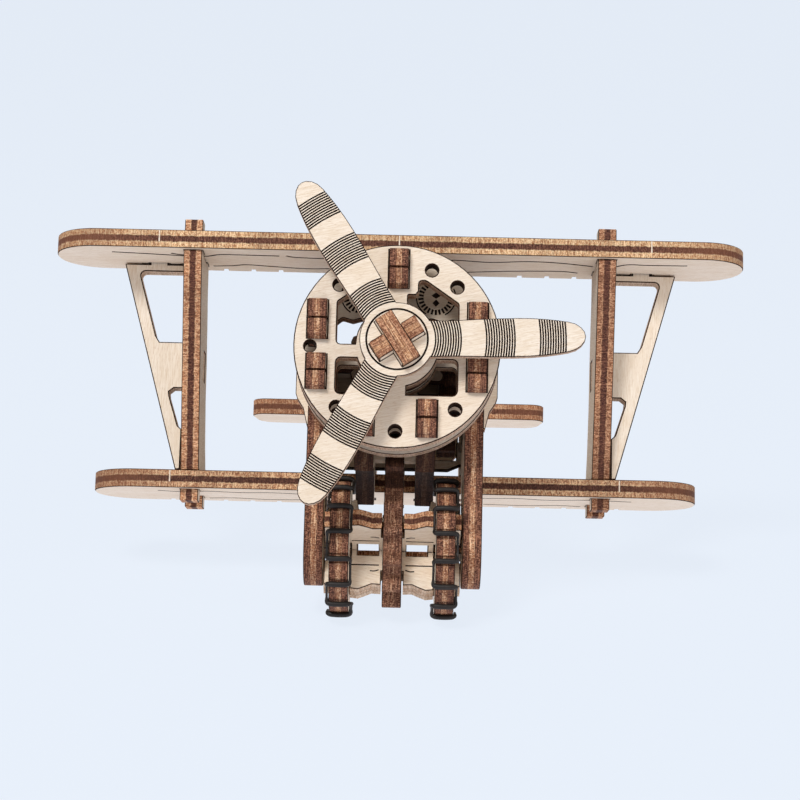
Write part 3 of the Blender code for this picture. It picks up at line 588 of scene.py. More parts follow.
# wing and tailplane edges darken towards their tips: partly scorch, partly painted shade
TIPS["upper_wing"], TIPS["lower_wing"], TIPS["tailplane"] = 70.0, 62.0, 30.0
TONE["lower_wing"], TONE["tailplane"], TONE["axle_plate_b"] = LOW_WING, WARM_DARK, SOFT
TONE["shaft_plate_a"], TONE["shaft_plate_b"] = HUB, HUB
TONE["strut_right"] = STRUT_R
# parts inside the fuselage and nose: their edges darkened as painted shade
for n in ("idler_gear", "layshaft_gear", "lower_frame",
          "layshaft_plate_a", "layshaft_plate_b", "crown_wheel", "prop_gear", "shaft_collar"):
    TONE[n] = SHADED_INSIDE
TONE["axle_gear"] = GEAR_DARK
# darker faces: painted shade for the gears, collar, layshaft plates and lower frame inside the fuselage and for
# the instrument disc behind the nose disc; the struts' faces are multiplied by 0.72
for n, v in (("prop_gear", 0.55), ("crown_wheel", 0.6), ("shaft_collar", 0.7),
             ("layshaft_gear", 0.6), ("layshaft_plate_a", 0.6), ("layshaft_plate_b", 0.6),
             ("lower_frame", 0.85), ("instrument_disc", 0.78), ("strut_left", 0.72),
             ("strut_right", 0.72)):
    FACE_DARKEN[n] = v

# engraved stripes of the propeller: arcs round the shaft, cut across all three blades
PROP_H = (PROP_Y[1] - PROP_Y[0]) / 2
for r0, n, step in ((7.78, 11, 0.512), (18.05, 12, 0.515), (28.9, 11, 0.509)):
    for i in range(n):
        r = r0 + i * step
        add_cut("propeller", lambda bm, r=r: cutter_annulus(bm, 0, 0, r - 0.165, r + 0.165,
                                                            PROP_H - 0.3, PROP_H + 0.4, 150))
add_cut("propeller", lambda bm: cutter_annulus(bm, 0, 0, 6.0, 6.4, PROP_H - 0.3,
                                               PROP_H + 0.4, 96))

# two plain dials with ticks and a needle, half hidden behind the nose disc's windows
for side in (-1, 1):
    du, dv = side * 7.85, 12.2
    for i in range(26):
        a = 2 * math.pi * (i + 0.5) / 26
        stroke("instrument_disc", [(du + 2.62 * math.cos(a), dv + 2.62 * math.sin(a)),
                                   (du + 3.75 * math.cos(a), dv + 3.75 * math.sin(a))], 0.46, 0.35)
    for t0, t1 in ((-62, 30), (150, 242)):
        stroke("instrument_disc", [(du + 4.12 * math.cos(math.radians(t)),
                                    dv + 4.12 * math.sin(math.radians(t)))
                                   for t in range(t0, t1 + 1, 10)], 0.3, 0.35)
    for y0, y1, wide in ((-2.0, -0.4, 0.75), (-0.3, 1.1, 1.0), (1.2, 2.4, 0.35)):
        ring = [(du, dv + y0), (du + wide, dv + (y0 + y1) / 2), (du, dv + y1),
                (du - wide, dv + (y0 + y1) / 2)]
        add_cut("instrument_disc", lambda bm, ring=ring: cutter_prism(
            bm, ring, -PLY / 2 - 0.4, -PLY / 2 + 0.35))
        add_cut("instrument_disc", lambda bm, ring=ring: cutter_prism(
            bm, ring, PLY / 2 - 0.35, PLY / 2 + 0.4))

# axle plates: a long line along each half and short curved ones beside the middle gear
for nm, sign, face in (("axle_plate_a", 1, 1), ("axle_plate_a", -1, 1), ("axle_plate_b", 1, -1),
                       ("axle_plate_b", -1, -1)):
    reach = 5.6 if not (nm == "axle_plate_b" and sign < 0) else 5.0
    for s2 in (-1, 1):
        for fc in (-1, 1):
            stroke(nm, [(s2 * 2.75, sign * reach), (s2 * 8.5, sign * reach)], 0.30, 0.3, fc)
            if reach > 5.5:
                stroke(nm, smooth([(s2 * 2.75, sign * (reach + 1.15)), (s2 * 3.7, sign * (reach + 1.45)),
                                   (s2 * 4.6, sign * (reach + 1.4))]), 0.28, 0.3, fc)

# wings: long wavy lines along both faces, small notches in the trailing edge, pale nubs in front
UW = [[(-63.4, 29.1), (-56, 30.0), (-47.7, 31.3)], [(-50.4, 29.1), (-48.2, 30.3), (-43.0, 31.2),
      (-39.6, 29.4), (-33.8, 29.3), (-26.6, 29.5)], [(-25.1, 29.2), (-22.9, 30.4), (-15.8, 30.9),
      (-9.0, 30.2), (-2.0, 30.6)], [(-42.0, 40.1), (-37.7, 39.4), (-34.5, 38.2), (-29.9, 39.0),
      (-22.0, 40.5), (-16.5, 40.2), (-8.0, 38.9)], [(-58.0, 38.9), (-51.0, 39.6), (-48.4, 38.6)],
      [(4.0, 30.4), (12.0, 29.6), (20.0, 30.8), (28.0, 29.3), (35.2, 30.0), (42.7, 32.5)],
      [(6.0, 39.4), (14.0, 40.5), (24.0, 38.6), (35.2, 37.6), (39.8, 38.8)],
      [(47.8, 32.0), (50.3, 30.0), (54.8, 30.2), (63.2, 29.9)], [(50.0, 39.8), (57.0, 39.0)]]
LW = [[(-52.5, 42.0), (-47.0, 43.4), (-41.5, 41.6), (-34.0, 42.6), (-27.0, 41.7), (-19.5, 43.2)],
      [(-42.0, 53.1), (-36.0, 51.9), (-29.0, 53.3), (-20.0, 52.2)],
      [(19.5, 42.6), (27.0, 41.6), (34.0, 43.2), (42.0, 41.8), (52.5, 43.0)],
      [(20.0, 52.6), (29.0, 53.4), (37.0, 51.8), (42.0, 52.9)]]


for wing_name, lines in (("upper_wing", UW), ("lower_wing", LW)):
    for line in lines:
        for face in (-1, 1):
            stroke(wing_name, smooth(line), 0.75, 0.35, face)
for wing_name, y1, xs in (("upper_wing", 44.5, (27.0, 33.2, 39.4)),
                          ("lower_wing", 57.5, (26.4, 32.5, 38.6, 50.6))):
    for x in xs:
        for s in (-1, 1):
            ring = [(s * x - 0.5, y1 - 1.9), (s * x + 0.5, y1 - 1.9), (s * x + 0.6, y1 + 0.5),
                    (s * x - 0.6, y1 + 0.5)]
            add_cut(wing_name, lambda bm, ring=ring: cutter_prism(bm, ring, -3, 3, 1))
for wing_name, y0, xs in (("upper_wing", 24.0, (-52.5, -0.2, 54.7)),
                          ("lower_wing", 36.5, (-49.4, 49.2))):
    NUBS[wing_name] = [([(x - 0.13, y0 - 0.1), (x + 0.13, y0 - 0.1), (x + 0.13, y0 + 0.2),
                         (x - 0.13, y0 + 0.2)], -0.7, 1.8) for x in xs]
for n in ("upper_wing", "lower_wing", "tailplane"):
    GRAIN[n] = 0.0


# ---- 2D drawing helpers ----
def rect(u0, v0, u1, v1):
    return [(u0, v0), (u1, v0), (u1, v1), (u0, v1)]


def circle(cu, cv, r, n=24, a0=0.0):
    return [(cu + r * math.cos(a0 + 2 * math.pi * i / n), cv + r * math.sin(a0 + 2 * math.pi * i / n))
            for i in range(n)]


def arc(cu, cv, r, a0, a1, n):
    return [(cu + r * math.cos(math.radians(a0 + (a1 - a0) * i / n)),
             cv + r * math.sin(math.radians(a0 + (a1 - a0) * i / n))) for i in range(n + 1)]


def mirror_u(ring):
    return [(-u, v) for u, v in reversed(ring)]


def turned(ring, deg, cu=0.0, cv=0.0):
    c, s = math.cos(math.radians(deg)), math.sin(math.radians(deg))
    return [(cu + u * c - v * s, cv + u * s + v * c) for u, v in ring]


def rounded(points, n=4):
    """Polygon of (u, v, r): each corner with r > 0 becomes a tangent arc."""
    out = []
    m = len(points)
    for i, p in enumerate(points):
        u, v = p[0], p[1]
        r = p[2] if len(p) > 2 else 0.0
        if r <= 0:
            out.append((u, v))
            continue
        a = Vector(points[i - 1][:2]) - Vector((u, v))
        b = Vector(points[(i + 1) % m][:2]) - Vector((u, v))
        la, lb = a.length, b.length
        a.normalize()
        b.normalize()
        ang = a.angle(b)
        d = min(r / math.tan(ang / 2), 0.49 * la, 0.49 * lb)
        rr = d * math.tan(ang / 2)
        mid = (a + b).normalized() * (rr / math.sin(ang / 2))
        c = Vector((u, v)) + mid
        p0 = Vector((u, v)) + a * d - c
        p1 = Vector((u, v)) + b * d - c
        t0 = math.atan2(p0.y, p0.x)
        t1 = math.atan2(p1.y, p1.x)
        while t1 - t0 > math.pi:
            t1 -= 2 * math.pi
        while t1 - t0 < -math.pi:
            t1 += 2 * math.pi
        for k in range(n + 1):
            t = t0 + (t1 - t0) * k / n
            out.append((c.x + rr * math.cos(t), c.y + rr * math.sin(t)))
    return out


def cross_ring(w, half=HALF + FIT):
    """Cross-shaped hole for two crossed plates of half width w."""
    return [(w, -half), (w, half), (half, half), (half, w), (-half, w), (-half, half),
            (-w, half), (-w, -half), (-half, -half), (-half, -w), (half, -w), (half, -half)]


def gear_ring(teeth, r_root, r_pitch, r_tip, w_root, w_pitch, w_tip, phase_deg):
    """Straight-flanked laser-cut teeth; the tips are cut square and their corners eased."""
    ring = []
    for k in range(teeth):
        a = math.radians(phase_deg) + 2 * math.pi * k / teeth
        for r, w in ((r_root, -w_root), (r_pitch, -w_pitch), (r_tip - 0.3, -w_tip),
                     (r_tip, -w_tip * 0.62), (r_tip, w_tip * 0.62), (r_tip - 0.3, w_tip),
                     (r_pitch, w_pitch), (r_root, w_root)):
            b = a + math.asin(w / 2 / r)
            ring.append((r * math.cos(b), r * math.sin(b)))
        b = a + math.pi / teeth
        ring.append((r_root * 0.985 * math.cos(b), r_root * 0.985 * math.sin(b)))
    return ring


def tongue(z1, z0, tip=TONGUE_TIP, base=TONGUE_BASE):
    """Split snap tab pointing forwards, drawn downwards from z1 to z0."""
    zm = (z0 + z1) / 2
    return [(base, z1), (-0.25, z1), (-0.5, z1 + 0.35), (tip + 0.5, z1 + 0.05), (tip, z1 - 0.4),
            (tip, zm + 0.25), (4.5, zm + 0.25), (4.5, zm - 0.25), (tip, zm - 0.25),
            (tip, z0 + 0.4), (tip + 0.5, z0 - 0.05), (-0.5, z0 - 0.35), (-0.25, z0), (base, z0)]


# ---- nose discs ----
def tab_slots():
    w = HALF + FIT
    out = [rect(-w, TOP_TAB[0] - FIT, w, TOP_TAB[1] + FIT)]
    for s in (-1, 1):
        for z0, z1 in (SIDE_UP, SIDE_DOWN):
            out.append(rect(s * SIDE_X - w, z0 - FIT, s * SIDE_X + w, z1 + FIT))
        out.append(rect(s * INNER_X - w, INNER_TAB[0] - FIT, s * INNER_X + w, INNER_TAB[1] + FIT))
    return out


def pin_holes():
    out = [circle(0.0, -17.7, 1.3, 16)]
    for s in (-1, 1):
        out += [circle(s * 12.1, -13.0, 1.3, 16), circle(s * 17.8, -0.45, 1.2, 16),
                circle(s * 12.1, 12.5, 1.3, 16), circle(s * 6.8, 15.95, 1.3, 16)]
    return out


HUB_CLEAR = 8.6


def hub_arc(a0, a1, n=8):
    return [(u, v, 0.0) for u, v in arc(0, 0, HUB_CLEAR, a0, a1, n)]


upper_window = rounded([(12.4, 0.2, 0.8), (12.4, 9.0, 0.8), (5.6, 13.7, 1.0), (4.2, 13.7, 0.7),
                        (4.2, 11.5, 0.3), (3.6, 10.7, 0.3), (2.0, 10.7, 0.3)]
                       + hub_arc(76.5, 1.5), 3)
lower_window = rounded([(2.08, -10.1, 0.0), (12.4, -10.1, 1.0), (12.4, -2.7, 1.0)]
                       + hub_arc(-18.5, -76.0), 3)

front_holes = [circle(0, 0, 6.0, 32), upper_window, mirror_u(upper_window), lower_window,
               mirror_u(lower_window), *tab_slots(), *pin_holes()]
plate("front_disc", circle(0, 0, DISC_R, 72), front_holes, "XZ",
      (0, sum(DISC_Y) / 2, 0))

panel_window = rounded([(12.9, 0.2, 0.8), (12.9, 6.4, 0.8), (11.6, 7.5, 0.8), (9.4, 6.9, 0.8),
                        (7.0, 7.6, 0.8), (5.2, 7.2, 0.5)] + hub_arc(57.0, 1.5, 7), 3)
panel_holes = [circle(0, 0, 6.0, 32), panel_window, mirror_u(panel_window), lower_window,
               mirror_u(lower_window), *tab_slots(), *pin_holes()[:2], *pin_holes()[5:6]]
plate("instrument_disc", circle(0, 0, DISC_R, 72), panel_holes, "XZ",
      (0, sum(PANEL_Y) / 2, 0))

# ---- fuselage sides with the landing legs ----
side = [(TONGUE_BASE, 10.4), *tongue(SIDE_UP[1], SIDE_UP[0]), *tongue(SIDE_DOWN[1], SIDE_DOWN[0]),
        (TONGUE_BASE, -12.0), (11.6, -29.0),
        *arc(AXLE[0], AXLE[1], 8.3, 180, 360, 14), (29.0, -32.0), (31.3, -25.3), (36.2, -21.0),
        (44.7, -21.0), (44.7, -25.2), (48.7, -25.2), (48.7, -21.0),
        (52.3, -21.0), (52.3, -25.2), (56.3, -25.2), (56.3, -21.0),
        (59.5, -21.5), (62.0, -17.0), (62.5, -6.0), (62.0, 6.0), (59.5, 10.4),
        (28.3, 10.4), (28.3, 0.0), (23.7, 0.0), (23.7, 10.4)]
side_holes = [circle(*AXLE, 3.0, 20), circle(*LAY, 3.0, 20), rect(38.2, -18.9, 42.8, -15.3),
              rect(54.7, -6.3, 59.3, 0.3), circle(48.5, -6.0, 4.2, 24)]
plate("outer_side_left", side, side_holes, "YZ", (-SIDE_X, 0, 0), rgb=CHARRED)
plate("outer_side_right", side, side_holes, "YZ", (SIDE_X, 0, 0), rgb=CHARRED)

# ---- inner longerons, running to the tail ----
WHEEL_CLEAR = 16.8
a_front = 180 - math.degrees(math.acos((AXLE[0] - TONGUE_BASE) / WHEEL_CLEAR))
a_back = math.degrees(math.acos((33.0 - AXLE[0]) / WHEEL_CLEAR))
inner = [(TONGUE_BASE, -11.0), *tongue(INNER_TAB[1], INNER_TAB[0]),
         *arc(AXLE[0], AXLE[1], WHEEL_CLEAR, a_front, a_back, 8), (33.4, -28.2), (35.9, -28.2),
         (35.9, -21.0), (46.0, -21.0), (46.0, -25.2), (50.0, -25.2), (50.0, -21.0),
         (58.0, -21.0), (62.0, -19.0), (90.0, -7.5), (103.0, -3.5), (117.5, -2.6), (117.5, 2.8),
         (112.0, 2.8), (112.0, 7.0), (108.0, 7.0), (108.0, 2.8), (103.6, 2.8), (103.6, 7.0),
         (101.5, 7.4), (62.0, 8.5), (59.3, 8.5), (59.3, -4.3), (54.7, -4.3), (54.7, 5.0),
         (50.5, 1.0), (47.5, -6.0), (44.0, -8.6), (22.0, -8.6), (19.5, -11.0)]
inner_holes = [circle(*IDLER, 2.25, 16), rect(38.2, -20.0, 42.8, -13.2), rect(92.7, -1.0, 97.3, 2.7),
               rounded([(67.0, -11.0, 1.5), (81.0, -5.6, 1.5), (81.0, 1.6, 1.5), (67.0, 2.4, 1.5)], 3)]
plate("inner_side_left", inner, inner_holes, "YZ", (-INNER_X, 0, 0), rgb=CHARRED)
plate("inner_side_right", inner, inner_holes, "YZ", (INNER_X, 0, 0), rgb=CHARRED)

# ---- centre spine with the cabane that carries the upper wing ----
spine = [(TONGUE_BASE, 20.3), *tongue(TOP_TAB[1], TOP_TAB[0]), (18.2, 12.2), (19.8, 14.3),
         (23.7, 14.3), (23.7, 18.4), (28.3, 18.4), (28.3, 14.3), (48.0, 14.3), (51.0, 9.8),
         (59.0, 9.8), (59.0, 13.0), (54.4, 13.0), (52.5, 16.5), (46.5, 20.3), (44.0, 25.3),
         (42.0, 25.3), (42.0, 29.5), (38.0, 29.5), (38.0, 25.3),
         (33.0, 25.3), (33.0, 29.5), (29.0, 29.5), (29.0, 25.3), (26.5, 25.3), (24.5, 21.5)]
plate("top_spine", spine, [], "YZ", (0, 0, 0), rgb=CHARRED)

# ---- cross frames ----
right = [(13.8, 0.3), (18.7, 0.3), (18.7, -12.6), (19.1, -13.0), (20.0, -9.2), (21.3, -7.2),
         (21.7, -6.0), (21.7, 3.0)] + arc(0, 3.0, 21.7, 8, 58, 10) + [(2.3, 21.45)]
frame_ring = right + [(2.3, 18.1), (-2.3, 18.1)] + mirror_u(right) + \
    [(-13.8, 17.4), (-13.0, 18.2), (-8.4, 18.2), (-8.4, 15.4), (8.4, 15.4), (8.4, 18.2),
     (13.0, 18.2), (13.8, 17.4)]
plate("mid_frame", frame_ring, [], "XZ", (0, 26.0, 0))

low = [(-18.3, -18.6), (-14.1, -18.6), (-11.6, -19.7), (11.6, -19.7), (14.1, -18.6), (18.3, -18.6),
       (18.3, -15.6), (14.1, -15.6), (14.1, -13.5), (13.4, -13.5), (13.4, -17.6), (8.5, -17.6),
       (8.5, -13.5), (-14.1, -13.5), (-14.1, -15.6), (-18.3, -15.6)]
plate("lower_frame", low, [], "XZ", (0, 40.5, 0))

rear = [(-18.3, -6.0), (-14.1, -6.0), (-14.1, -13.5), (-11.5, -16.5), (-8.7, -16.5), (-8.7, -4.0),
        (-4.1, -4.0), (-4.1, -16.5), (4.1, -16.5), (4.1, -4.0), (8.7, -4.0), (8.7, -16.5),
        (11.5, -16.5), (14.1, -13.5), (14.1, -6.0), (18.3, -6.0), (18.3, 0.0), (14.1, 0.0),
        *arc(0, 0.5, 14.1, 2, 178, 20), (-14.1, 0.0), (-18.3, 0.0)]
plate("rear_frame", rear, [rect(-2.3, 9.5, 2.3, 13.3), circle(0, 2.0, 2.6, 16)], "XZ",
      (0, 57.0, 0))

tail_ring = [(-8.3, -0.7), (-4.1, -0.7), (-4.1, -3.6), (-2.3, -3.6), (-2.3, 0.6), (2.3, 0.6),
             (2.3, -3.6), (4.1, -3.6), (4.1, -0.7), (8.3, -0.7), (8.3, 2.4), (4.1, 2.4),
             (4.1, 5.6), (-4.1, 5.6), (-4.1, 2.4), (-8.3, 2.4)]
plate("tail_frame", tail_ring, [], "XZ", (0, 95.0, 0))


# ---- wings ----
def wing(name, span, ys, z, round_r, slots, notches):
    y0, y1 = ys
    h = span / 2
    ring = rounded([(-h, y0, round_r), (h, y0, round_r), (h, y1, round_r), (-h, y1, round_r)], 10)
    return plate(name, ring, slots, "XY", (0, 0, z))


def slot_x(x, y0, y1):
    return rect(x - HALF - FIT, y0 - FIT, x + HALF + FIT, y1 + FIT)


upper_slots = [slot_x(0, 29.0, 33.0), slot_x(0, 38.0, 42.0)]
lower_slots = []
for s in (-1, 1):
    upper_slots += [slot_x(s * STRUT_X, 25.6, 29.6), slot_x(s * STRUT_X, 36.9, 40.9),
                    rect(s * 54.0 - 2.3, 38.2, s * 54.0 + 2.3, 42.8)]
    lower_slots += [slot_x(s * STRUT_X, 38.1, 42.1), slot_x(s * STRUT_X, 49.4, 53.4),
                    slot_x(s * SIDE_X, 44.7, 48.7), slot_x(s * SIDE_X, 52.3, 56.3),
                    slot_x(s * INNER_X, 46.0, 50.0)]
wing("upper_wing", UPPER_SPAN, UPPER_Y, UPPER_Z, 9.8, upper_slots, ())
wing("lower_wing", LOWER_SPAN, LOWER_Y, LOWER_Z, 9.8, lower_slots, ())

# ---- interplane struts and outboard braces ----
strut = [(25.0, 25.3), (29.5, 8.0), (33.6, -8.0), (37.4, -21.0),
         (38.1, -21.0), (38.1, -27.9), (42.1, -27.9), (42.1, -21.0),
         (49.4, -21.0), (49.4, -27.9), (53.4, -27.9), (53.4, -21.0), (53.9, -21.0),
         (50.2, -14.0), (47.0, -4.0), (46.0, 4.0), (44.2, 12.0), (42.2, 19.0), (41.4, 25.3),
         (40.9, 25.3), (40.9, 32.4), (36.9, 32.4), (36.9, 25.3),
         (29.6, 25.3), (29.6, 32.4), (25.6, 32.4), (25.6, 25.3)]
strut_holes = [rect(38.2, -0.8, 42.8, 5.8)]
brace = [(47.5, -21.0), (48.6, -21.0), (61.6, 25.0), (61.6, 25.3), (56.0, 25.3), (56.0, 29.5),
         (52.0, 29.5), (52.0, 25.3), (47.5, 25.3), (47.5, 23.7), *arc(57.0, 22.7, 1.0, 90, -12, 4),
         (54.1, 9.0), (53.2, 7.6), (47.5, 7.6), (47.5, 5.5), (43.3, 5.5), (43.3, -0.5),
         (47.5, -0.5), (47.5, -2.8), (49.6, -2.8), (50.6, -3.6), (50.5, -4.6), (48.4, -11.2),
         (47.5, -12.0)]
for tag, s in (("left", -1), ("right", 1)):
    plate("strut_" + tag, strut, strut_holes, "YZ", (s * STRUT_X, 0, 0), rgb=CHARRED)
    plate("brace_" + tag, brace if s > 0 else mirror_u(brace), [], "XZ", (0, 40.5, 0))

# ---- tail ----
tail = rounded([(-37.5, 104.0, 3.5), (37.5, 104.0, 3.5), (35.5, 116.5, 4.5), (12.0, 117.8, 2.0),
                (0.0, 116.8, 0), (-12.0, 117.8, 2.0), (-35.5, 116.5, 4.5)], 6)
plate("tailplane", tail, [slot_x(-INNER_X, 108.0, 112.0), slot_x(INNER_X, 108.0, 112.0),
                          slot_x(0, 105.5, 109.0), slot_x(0, 112.0, 115.5)], "XY", (0, 0, 5.1))
fin = rounded([(100.5, 7.4, 0), (105.5, 7.4, 0), (105.5, 3.2, 0), (109.0, 3.2, 0), (109.0, 7.4, 0),
               (119.5, 7.4, 1.5), (120.5, 18.0, 3.0), (117.0, 27.0, 4.0), (110.5, 26.0, 3.5),
               (105.0, 14.0, 6.0)], 5)
plate("fin", fin, [], "YZ", (0, 0, 0), rgb=CHARRED)

P = math.radians(PITCH_DEG)
ROLL_R = 14.76         # height of the axle above the ground, riding on the rubber
FOOT = 4.6             # length of the skid's flat foot
foot_y = 110.0
foot_z = AXLE[1] + (-ROLL_R + (foot_y - AXLE[0]) * math.sin(P)) / math.cos(P)
fy, fz = math.cos(P) * FOOT / 2, math.sin(P) * FOOT / 2
skid = [(92.7, 0.3), (92.7, -6.2), (99.0, -8.0), (104.5, -13.5),
        (foot_y - fy - 1.0, foot_z - fz + 0.5), (foot_y - fy, foot_z - fz),
        (foot_y + fy, foot_z + fz), (foot_y + fy + 0.3, foot_z + fz + 1.0),
        (110.5, -11.0), (112.0, -6.0), (116.5, -3.0), (117.0, 2.8),
        (115.5, 2.8), (115.5, 7.0), (112.0, 7.0), (112.0, 2.8), (97.6, 2.8), (97.6, 0.3)]
plate("tail_skid", skid, [], "YZ", (0, 0, 0), rgb=CHARRED)


# ---- turning parts ----
def pin(name, r, x0, x1, at, parent, rgb):
    """Turned pin: a lathe profile with eased ends."""
    prof = [(x0, 0.0), (x0, r * 0.8), (x0 + 0.35, r), (x1 - 0.35, r), (x1, r * 0.8), (x1, 0.0)]
    n = 32
    bm = bmesh.new()
    rows = [[bm.verts.new((u * MM, q * MM * math.cos(2 * math.pi * i / n),
                           q * MM * math.sin(2 * math.pi * i / n))) for i in range(n)]
            for u, q in prof[1:-1]]
    for a, b in zip(rows, rows[1:]):
        for i in range(n):
            bm.faces.new((a[i], b[i], b[(i + 1) % n], a[(i + 1) % n]))
    bm.faces.new(rows[0][::-1])
    bm.faces.new(rows[-1])
    bmesh.ops.recalc_face_normals(bm, faces=bm.faces)
    me = bpy.data.meshes.new(name)
    bm.to_mesh(me)
    bm.free()
    m = parent.m @ Matrix.Translation(Vector(at) * MM)
    me.transform(m)
    me.materials.append(face_mat(name, m, 4.0, 0.0))
    me.shade_smooth()
    me.set_sharp_from_angle(angle=math.radians(28))
    ob = bpy.data.objects.new(name + "_turned", me)
    scene.collection.objects.link(ob)
    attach(ob, BODY_OF[name])
    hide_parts(name)
    return ob


def shaft_pair(prefix, profile_a, profile_b, holes_a, holes_b, parent, plane_mat):
    """Two plates crossing on the axis. plane_mat gives each its orientation about that axis."""
    return [plate(prefix + "_" + tag, prof, holes, "XY", (0, 0, 0), parent=parent, rot=m)
            for tag, prof, holes, m in (("a", profile_a, holes_a, plane_mat[0]),
                                        ("b", profile_b, holes_b, plane_mat[1]))]


def about_x(deg):
    """Plate with u along +X and v at deg above straight ahead (-Y)."""
    c, s = math.cos(math.radians(deg)), math.sin(math.radians(deg))
    u = Vector((1, 0, 0))
    v = Vector((0, -c, s))
    w = u.cross(v)
    return Matrix((u, v, w)).transposed()


def about_y(deg):
    """Plate with u along +Y and v at deg from +X towards +Z."""
    c, s = math.cos(math.radians(deg)), math.sin(math.radians(deg))
    u = Vector((0, 1, 0))
    v = Vector((c, 0, s))
    w = u.cross(v)
    return Matrix((u, v, w)).transposed()


def locked(u0, u1, w, mid, slot_side):
    """Rectangle of half width w from u0 to u1 with a slot from one end to just past mid."""
    g = HALF + FIT
    if slot_side < 0:
        return [(u0, -w), (u1, -w), (u1, w), (u0, w), (u0, g), (mid, g), (mid, -g), (u0, -g)]
    return [(u0, -w), (u1, -w), (u1, -g), (mid, -g), (mid, g), (u1, g), (u1, w), (u0, w)]


# propeller shaft: from in front of the hub to behind the small gear
PROP_SHAFT_DEG = -57.0
sa = locked(-9.0, 18.3, SHAFT_W, 5.3, 1)
sb = locked(-9.0, 18.3, SHAFT_W, 5.6, -1)
shaft_pair("shaft_plate", sa, sb, [], [], prop_axis,
           (about_y(PROP_SHAFT_DEG), about_y(PROP_SHAFT_DEG + 90)))
prop_cross = turned(cross_ring(SHAFT_W + FIT), PROP_SHAFT_DEG)


def blade():
    """One blade along +u: its lower edge out to the tip, then its upper edge back to the hub."""
    prof = [(6.6, 3.75), (9.0, 3.7), (12.0, 3.72), (16.0, 3.85), (20.0, 3.98), (24.0, 4.0),
            (27.0, 3.92), (30.0, 3.72), (32.5, 3.42), (34.5, 3.1), (36.0, 2.65), (37.1, 1.9),
            (37.8, 0.95), (38.0, 0.0)]
    return [(u, -w) for u, w in prof[:-1]] + [prof[-1]] + [(u, w) for u, w in reversed(prof[:-1])]


BLADE_DEG = 2.2        # first blade, degrees above straight right
prop_ring = []
b_half = math.degrees(math.asin(3.75 / HUB_R))
for k in range(3):
    prop_ring += turned(blade(), BLADE_DEG + 120 * k)
    prop_ring += arc(0, 0, HUB_R, BLADE_DEG + 120 * k + b_half + 3,
                     BLADE_DEG + 120 * (k + 1) - b_half - 3, 6)
plate("propeller", prop_ring, [prop_cross], "XZ", (0, sum(PROP_Y) / 2, 0),
      thick=PROP_Y[1] - PROP_Y[0], parent=prop_axis)
plate("shaft_collar", circle(0, 0, 8.3, 32), [prop_cross], "XZ", (0, 6.2, 0), parent=prop_axis)

PROP_TEETH = 8
CROWN_TEETH = 14
SPUR_TEETH = 12
IDLER_TEETH = 10
pr = gear_ring(PROP_TEETH, 7.7, 9.2, 10.4, 3.4, 2.7, 1.9, 22.5)
plate("prop_gear", pr, [prop_cross], "XZ", (0, 15.5, 0), parent=prop_axis)

# layshaft: crossed plates with round-running tongues in the fuselage sides
LS = 13.5
T = 1.7


def with_tongues(body_w, half_len, tongue_half, tip, mid, slot_side, extra=()):
    """Shaft plate: full-width middle, a tongue on the end away from the slot."""
    g = HALF + FIT
    if slot_side < 0:
        return [(-half_len, -body_w), (half_len, -body_w), (half_len, -tongue_half),
                (tip, -tongue_half), (tip, tongue_half), (half_len, tongue_half),
                (half_len, body_w), (-half_len, body_w), (-half_len, g), (mid, g), (mid, -g),
                (-half_len, -g)]
    return [(-half_len, -body_w), (half_len, -body_w), (half_len, -g), (mid, -g), (mid, g),
            (half_len, g), (half_len, body_w), (-half_len, body_w), (-half_len, tongue_half),
            (-tip, tongue_half), (-tip, -tongue_half), (-half_len, -tongue_half)]


LAY_DEG = 12.0
la = with_tongues(SHAFT_W, LS, T, 18.4, 0.15, -1)
lb = with_tongues(SHAFT_W, LS, T, 18.4, -0.15, 1)
shaft_pair("layshaft_plate", la, lb, [], [], lay_axis, (about_x(LAY_DEG), about_x(LAY_DEG + 90)))


def x_gear(name, ring_yz, hole_deg, hole_w, x, axis_empty, rgb=CHARRED, hole=None):
    """Gear in a plane across X. Its ring is drawn with angle 0 straight ahead (-Y)."""
    hole_ring = hole or turned(cross_ring(hole_w), hole_deg)
    to_yz = lambda ring: [(-u, v) for u, v in ring][::-1]
    return plate(name, to_yz(ring_yz), [to_yz(h) for h in ([hole_ring])], "YZ", (x, 0, 0),
                 parent=axis_empty, rgb=rgb)


# mesh phases: the angle (seen with 0 = straight ahead, 90 = up) from each axle to its neighbour
def ahead_angle(a, b):
    return math.degrees(math.atan2(b[1] - a[1], -(b[0] - a[0])))


ang_ai = ahead_angle(AXLE, IDLER)       # axle gear looks at the idler
ang_ia = ahead_angle(IDLER, AXLE)
ang_il = ahead_angle(IDLER, LAY)
ang_li = ahead_angle(LAY, IDLER)
axle_phase = ang_ai                                   # a tooth of the axle gear points at the idler
idler_phase = ang_ia + 180.0 / IDLER_TEETH            # a gap of the idler faces it
# idler tooth nearest to the layshaft line fixes the layshaft gear's phase
step_i = 360.0 / IDLER_TEETH
off = (ang_il - idler_phase) % step_i                 # how far the line lies past an idler tooth
lay_phase = ang_li + 180.0 / SPUR_TEETH + off * IDLER_TEETH / SPUR_TEETH
ag = gear_ring(SPUR_TEETH, 9.95, 11.3, 12.85, 3.2, 2.35, 1.35, axle_phase)
ig = gear_ring(IDLER_TEETH, 7.5, 9.42, 10.3, 3.0, 2.25, 1.55, idler_phase)
lg = gear_ring(SPUR_TEETH, 9.95, 11.3, 12.85, 3.2, 2.35, 1.35, lay_phase)
AXLE_SLOT = 7.3
x_gear("axle_gear", ag, AXLE_TILT, AXLE_SLOT, 0.0, axle_axis)
x_gear("idler_gear", ig, 0, 0, 0.0, idler_axis, hole=circle(0, 0, 2.25, 20))
x_gear("layshaft_gear", lg, LAY_DEG, SHAFT_W + FIT, 0.0, lay_axis)
